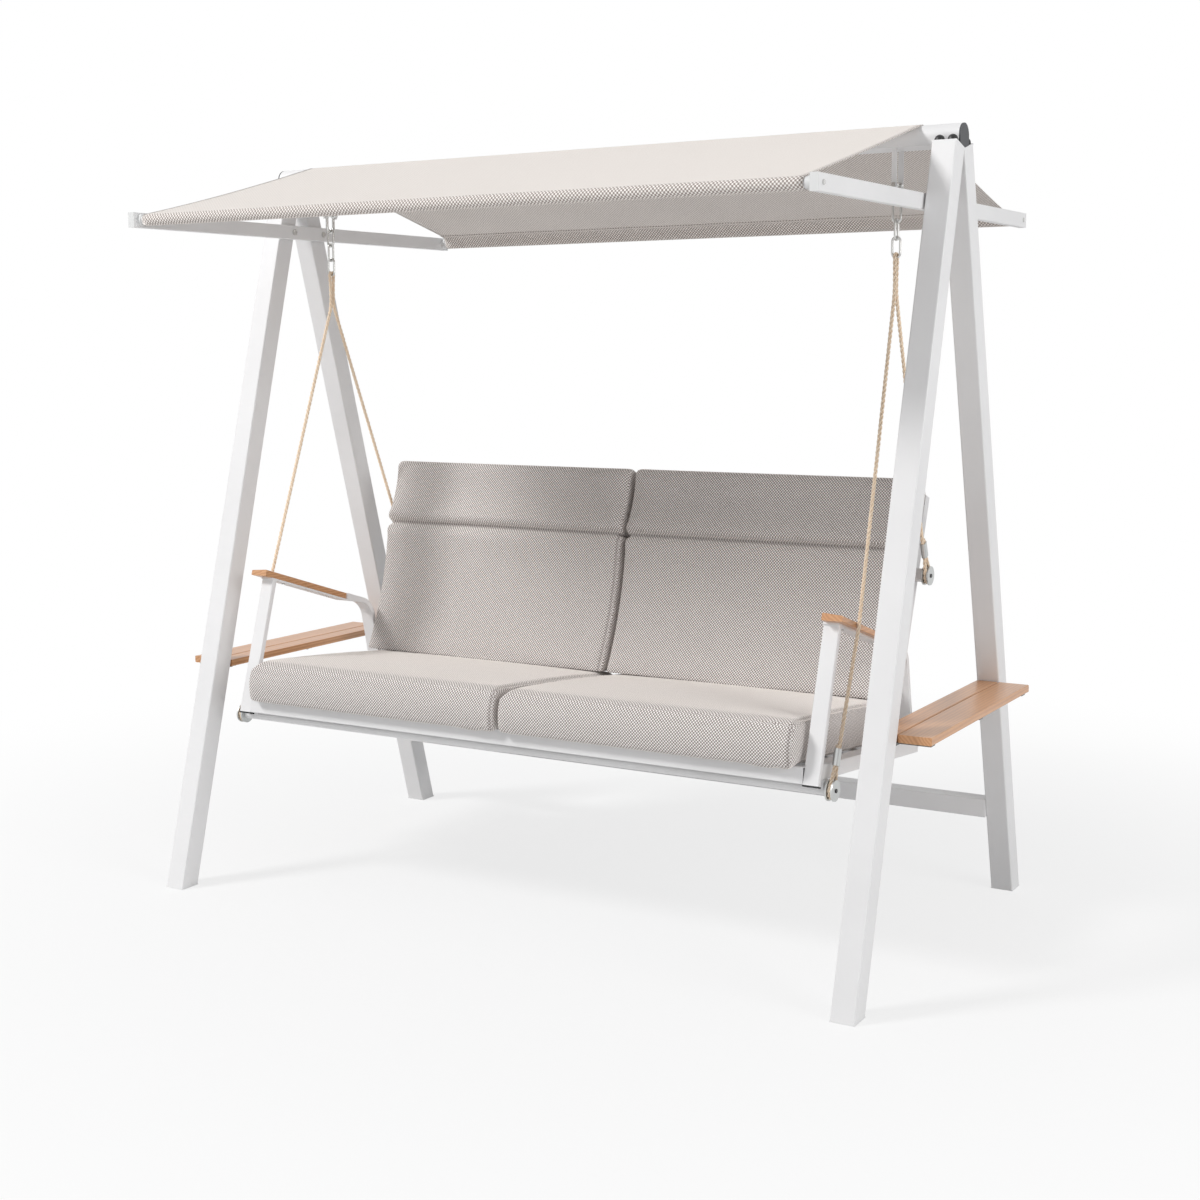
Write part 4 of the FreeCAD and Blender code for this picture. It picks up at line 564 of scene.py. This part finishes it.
class Finish(Nodes):
    """A material on one shader."""

    def __init__(self, name, **constants):
        self.material = bpy.data.materials.new(name)
        self.material.use_nodes = True
        super().__init__(self.material.node_tree)
        self.shader = self.tree.nodes["Principled BSDF"]
        for socket, value in constants.items():
            self.shader.inputs[socket.replace("_", " ")].default_value = value

    def mix(self, share, first, second):
        settings = {"data_type": "RGBA"}
        colors = [(*color, 1) if isinstance(color, tuple) else color for color in (first, second)]
        return self.node("Mix", settings, {0: share, 6: colors[0], 7: colors[1]}, output=2)

    def noise(self, spot, scale, detail=3.0, roughness=0.55):
        inputs = {"Vector": spot, "Scale": scale, "Detail": detail, "Roughness": roughness}
        return self.node("TexNoise", {}, inputs)

    def ramp(self, value, *stops):
        return self.node("ValToRGB", {"stops": stops}, {0: value})

    def axes(self, spot):
        split = self.node("SeparateXYZ", {}, {0: spot})
        return [Socket(self, output) for output in split.output.node.outputs]

    def spot(self, scale=(1, 1, 1)):
        place = self.node("TexCoord", output="Object")
        return self.node("Mapping", {}, {"Vector": place, "Scale": scale})

    def own_map(self, name):
        return self.node("UVMap", {"uv_map": name})

    def paint(self, color=None, rough=None, height=None, strength=0.3, distance=0.001):
        if color is not None:
            self.feed(self.shader.inputs["Base Color"], color)
        if rough is not None:
            self.feed(self.shader.inputs["Roughness"], rough)
        if height is not None:
            bump = self.node("Bump", {}, {"Strength": strength, "Distance": distance, "Height": height})
            self.feed(self.shader.inputs["Normal"], bump)
        return self.material


def srgb(*levels):
    """A colour as it looks on a screen, from 0 to 255, as the shader wants it."""
    return tuple((v / 255 / 12.92) if v < 11 else ((v / 255 + 0.055) / 1.055) ** 2.4 for v in levels)


def powder_coat(name, color, rough, grain=900.0):
    finish = Finish(name, Metallic=0.0)
    spot = finish.spot()
    peel = finish.noise(spot, grain, 2.0)
    cloud = finish.noise(spot, 3.0, 4.0)
    shade = tuple(v * 0.94 for v in color)
    tone = finish.mix(finish.ramp(cloud, (0.35, (0, 0, 0)), (0.7, (1, 1, 1))), color, shade)
    return finish.paint(tone, rough + (cloud - 0.5) * 0.12 + (peel - 0.5) * 0.08, peel, 0.12, 0.0004)


def teak(name):
    finish = Finish(name, Coat_Weight=0.55, Coat_Roughness=0.28)
    place = finish.node("TexCoord", output="Object")
    drift = finish.noise(finish.spot((9.0, 0.8, 9.0)), 2.0, 3.0)
    log = finish.node("Mapping", {},
                      {"Vector": place, "Location": (0.35, 0.0, 0.62), "Scale": (1.0, 0.05, 1.0)})
    rings = finish.node("TexWave", {"wave_type": "RINGS", "rings_direction": "Y"},
                        {"Vector": log, "Scale": 38.0, "Distortion": 5.0, "Detail": 2.0,
                         "Detail Scale": 1.0}, output="Fac")
    pores = finish.noise(finish.spot((900.0, 26.0, 900.0)), 1.0, 2.0)
    grain = finish.ramp(rings * 0.45 + drift * 0.55, (0.2, srgb(184, 128, 83)), (0.5, srgb(200, 145, 98)),
                        (0.8, srgb(210, 159, 114)))
    flecked = finish.mix((pores < 0.34) * 0.22, grain, srgb(146, 90, 51))
    rough = 0.42 + rings * 0.08 + (0.5 - pores) * 0.15
    return finish.paint(flecked, rough, rings * 0.3 + pores, 0.15, 0.0004)


def woven(name, map_name, cell, warp, weft, shade, hollow, painted_sheen, seam=None, base=None):
    """A two-tone basket weave: each cell shows a warp or a weft thread, rounded and a little uneven.

    At a slant the colour pales towards warm white, by the share that painted_sheen gives: a painted sheen,
    which also stands for the raised pale threads hiding part of the dark ones.
    """
    finish = Finish(name, Sheen_Weight=1.0, Sheen_Roughness=0.4, Sheen_Tint=(1.0, 0.94, 0.89, 1))
    spot = finish.own_map(map_name)
    u, v = finish.axes(spot)[:2]
    wander = finish.noise(spot, 60.0, 2.0)
    a, b = u / cell + (wander - 0.5) * 0.5, v / cell + (wander - 0.5) * 0.5
    over = ((a.floor() + b.floor()) % 2.0) > 0.5
    round_a, round_b = (abs((value % 1.0) - 0.5) * 2.0 for value in (a, b))
    thread = 1 - (over * round_a * round_a + (1 - over) * round_b * round_b)
    slub = finish.noise(finish.node("Mapping", {}, {"Vector": spot, "Scale": (40.0, 900.0, 1.0)}), 1.0, 2.0)
    tone = finish.mix(over, warp, weft)
    # Painted shade in the hollows between the rounded threads, plus random slubs in the yarn.
    tone = finish.mix((1 - thread) * hollow + (slub - 0.5) * 0.25, tone, shade)
    # Painted sheen: the colour pales towards warm white where the cloth is seen at a slant, partly standing
    # for raised pale threads hiding the dark ones.
    slant = finish.node("LayerWeight", {}, {"Blend": 0.5}, output="Facing")
    painted_sheen_share = finish.node("MapRange", {"interpolation_type": "SMOOTHSTEP"},
                         {"Value": slant, "From Min": 0.66, "From Max": 0.9, "To Min": 0.0,
                          "To Max": painted_sheen})
    tone = finish.mix(painted_sheen_share, tone, srgb(255, 247, 240))
    height = thread
    if seam:
        # Painted shade darkens the cloth along the seams' creases.
        line = finish.node("Attribute", {"attribute_name": seam}, output="Fac")
        tone = finish.mix(line * 0.45, tone, shade)
        height = thread - line
    if base:
        # Painted shadow: near black on the marked low part of the cover.
        below = finish.node("Attribute", {"attribute_name": base}, output="Fac")
        tone = finish.mix(below, tone, srgb(34, 33, 33))
    return finish.paint(tone, 0.86 - thread * 0.08, height, 0.3, cell * 0.2)


def rope_fibre(name):
    finish = Finish(name, Sheen_Weight=0.1)
    spot = finish.own_map("lay")
    yarn = finish.noise(finish.node("Mapping", {}, {"Vector": spot, "Scale": (220.0, 26.0, 1.0)}), 1.0, 3.0)
    fleck = finish.noise(finish.spot(), 70.0, 3.0)
    tone = finish.ramp(yarn * 0.7 + fleck * 0.3, (0.25, srgb(243, 212, 180)), (0.55, srgb(251, 232, 208)),
                       (0.8, srgb(254, 245, 231)))
    return finish.paint(tone, 0.8 + (yarn - 0.5) * 0.2, yarn, 0.5, 0.0006)


def bare_metal(name, color, rough, brush=(1.0, 1.0, 1.0)):
    finish = Finish(name, Metallic=1.0)
    spot = finish.spot(brush)
    scuff = finish.noise(spot, 260.0, 3.0)
    cloud = finish.noise(finish.spot(), 18.0, 3.0)
    tone = finish.mix(cloud * 0.5, color, tuple(v * 0.82 for v in color))
    return finish.paint(tone, rough + (scuff - 0.5) * 0.16, scuff, 0.08, 0.0003)


def moulded(name, color, rough):
    finish = Finish(name, Specular_IOR_Level=0.4)
    spot = finish.spot()
    grain = finish.noise(spot, 1400.0, 2.0)
    cloud = finish.noise(spot, 20.0, 3.0)
    tone = finish.mix(cloud * 0.4, color, tuple(v * 1.25 for v in color))
    return finish.paint(tone, rough + (cloud - 0.5) * 0.15, grain, 0.15, 0.0003)


FINISHES = {
    "white_frame": powder_coat("white_powder_coat", srgb(236, 235, 235), 0.42),
    "white_plastic": powder_coat("white_moulding", srgb(232, 232, 231), 0.5, 1400.0),
    "teak": teak("oiled_teak"),
    "roof_cloth": woven("roof_weave", "cut", 0.0046, srgb(255, 249, 244), srgb(152, 140, 133),
                        srgb(120, 107, 100), 0.2, painted_sheen=0.8),
    "cushion_cloth": woven("cushion_weave", "cut", 0.0040, srgb(255, 250, 247), srgb(136, 125, 120),
                           srgb(96, 86, 82), 0.4, painted_sheen=0.5, seam="seam", base="base"),
    "rope": rope_fibre("laid_fibre"),
    "steel": bare_metal("bright_steel", srgb(214, 214, 212), 0.22),
    "black_steel": moulded("black_steel", srgb(30, 30, 31), 0.35),
    "dark_metal": powder_coat("grey_coat", srgb(104, 106, 102), 0.45),
    "grey_metal": bare_metal("cast_alloy", srgb(206, 208, 207), 0.42),
    "black_plastic": moulded("black_moulding", srgb(26, 26, 27), 0.5),
    "grey_plastic": moulded("grey_moulding", srgb(72, 73, 76), 0.55),
}
for part in frame["record"]["subparts"]:
    node = bpy.data.objects[part["node"]]
    node.data.materials.clear()
    node.data.materials.append(FINISHES[part["material_slot"]])
for slot, pieces in (("roof_cloth", [roof]), ("rope", ropes), ("cushion_cloth", cushions)):
    for piece in pieces:
        piece.data.materials.clear()
        piece.data.materials.append(FINISHES[slot])

# Floor, backdrop and lamps
bpy.ops.mesh.primitive_plane_add(size=40, location=(0, 0, -0.0005))
floor = bpy.context.object
floor.name = "studio_floor"
studio = Finish("pale_floor", Base_Color=(0.8, 0.8, 0.8, 1), Roughness=0.9)
far = studio.node("VectorMath", {"operation": "LENGTH"}, {0: studio.spot()}, output="Value")
whiten = studio.node("MapRange", {"interpolation_type": "SMOOTHSTEP"},
                     {"Value": far, "From Min": 0.8, "From Max": 3.4, "To Min": 0.74, "To Max": 1.0})
glow = studio.node("Emission", {}, {"Color": (1, 1, 1, 1), "Strength": 1.0})
shaded = Socket(studio, studio.shader.outputs[0])
blend = studio.node("MixShader", {}, {0: studio.seen() * whiten, 1: shaded, 2: glow})
studio.feed(studio.tree.nodes["Material Output"].inputs["Surface"], blend)
floor.data.materials.append(studio.material)

world = bpy.data.worlds.new("studio")
scene.world = world
world.use_nodes = True
sky = Nodes(world.node_tree)
ambient = sky.node("Background", {}, {"Color": (0.96, 0.98, 1.0, 1), "Strength": 0.38})
white = sky.node("Background", {}, {"Color": (1, 1, 1, 1), "Strength": 1.0})
backdrop = sky.node("MixShader", {}, {0: sky.seen(), 1: ambient, 2: white})
sky.feed(sky.tree.nodes["World Output"].inputs["Surface"], backdrop)

LAMP_AIM = Vector((0, 0, 0.9))


def soft_box(name, place, width, power):
    """A round soft lamp, aimed at the middle of the swing."""
    bpy.ops.object.light_add(type="AREA", location=place)
    lamp = bpy.context.object
    lamp.name = name
    lamp.data.shape = "DISK"
    lamp.data.size = width
    lamp.data.energy = power
    lamp.rotation_euler = (LAMP_AIM - Vector(place)).to_track_quat("-Z", "Y").to_euler()


soft_box("key_box", (-6.2, -6.6, 8.8), 2.8, 880)
soft_box("fill_box", (8.0, -2.0, 3.4), 5.0, 255)
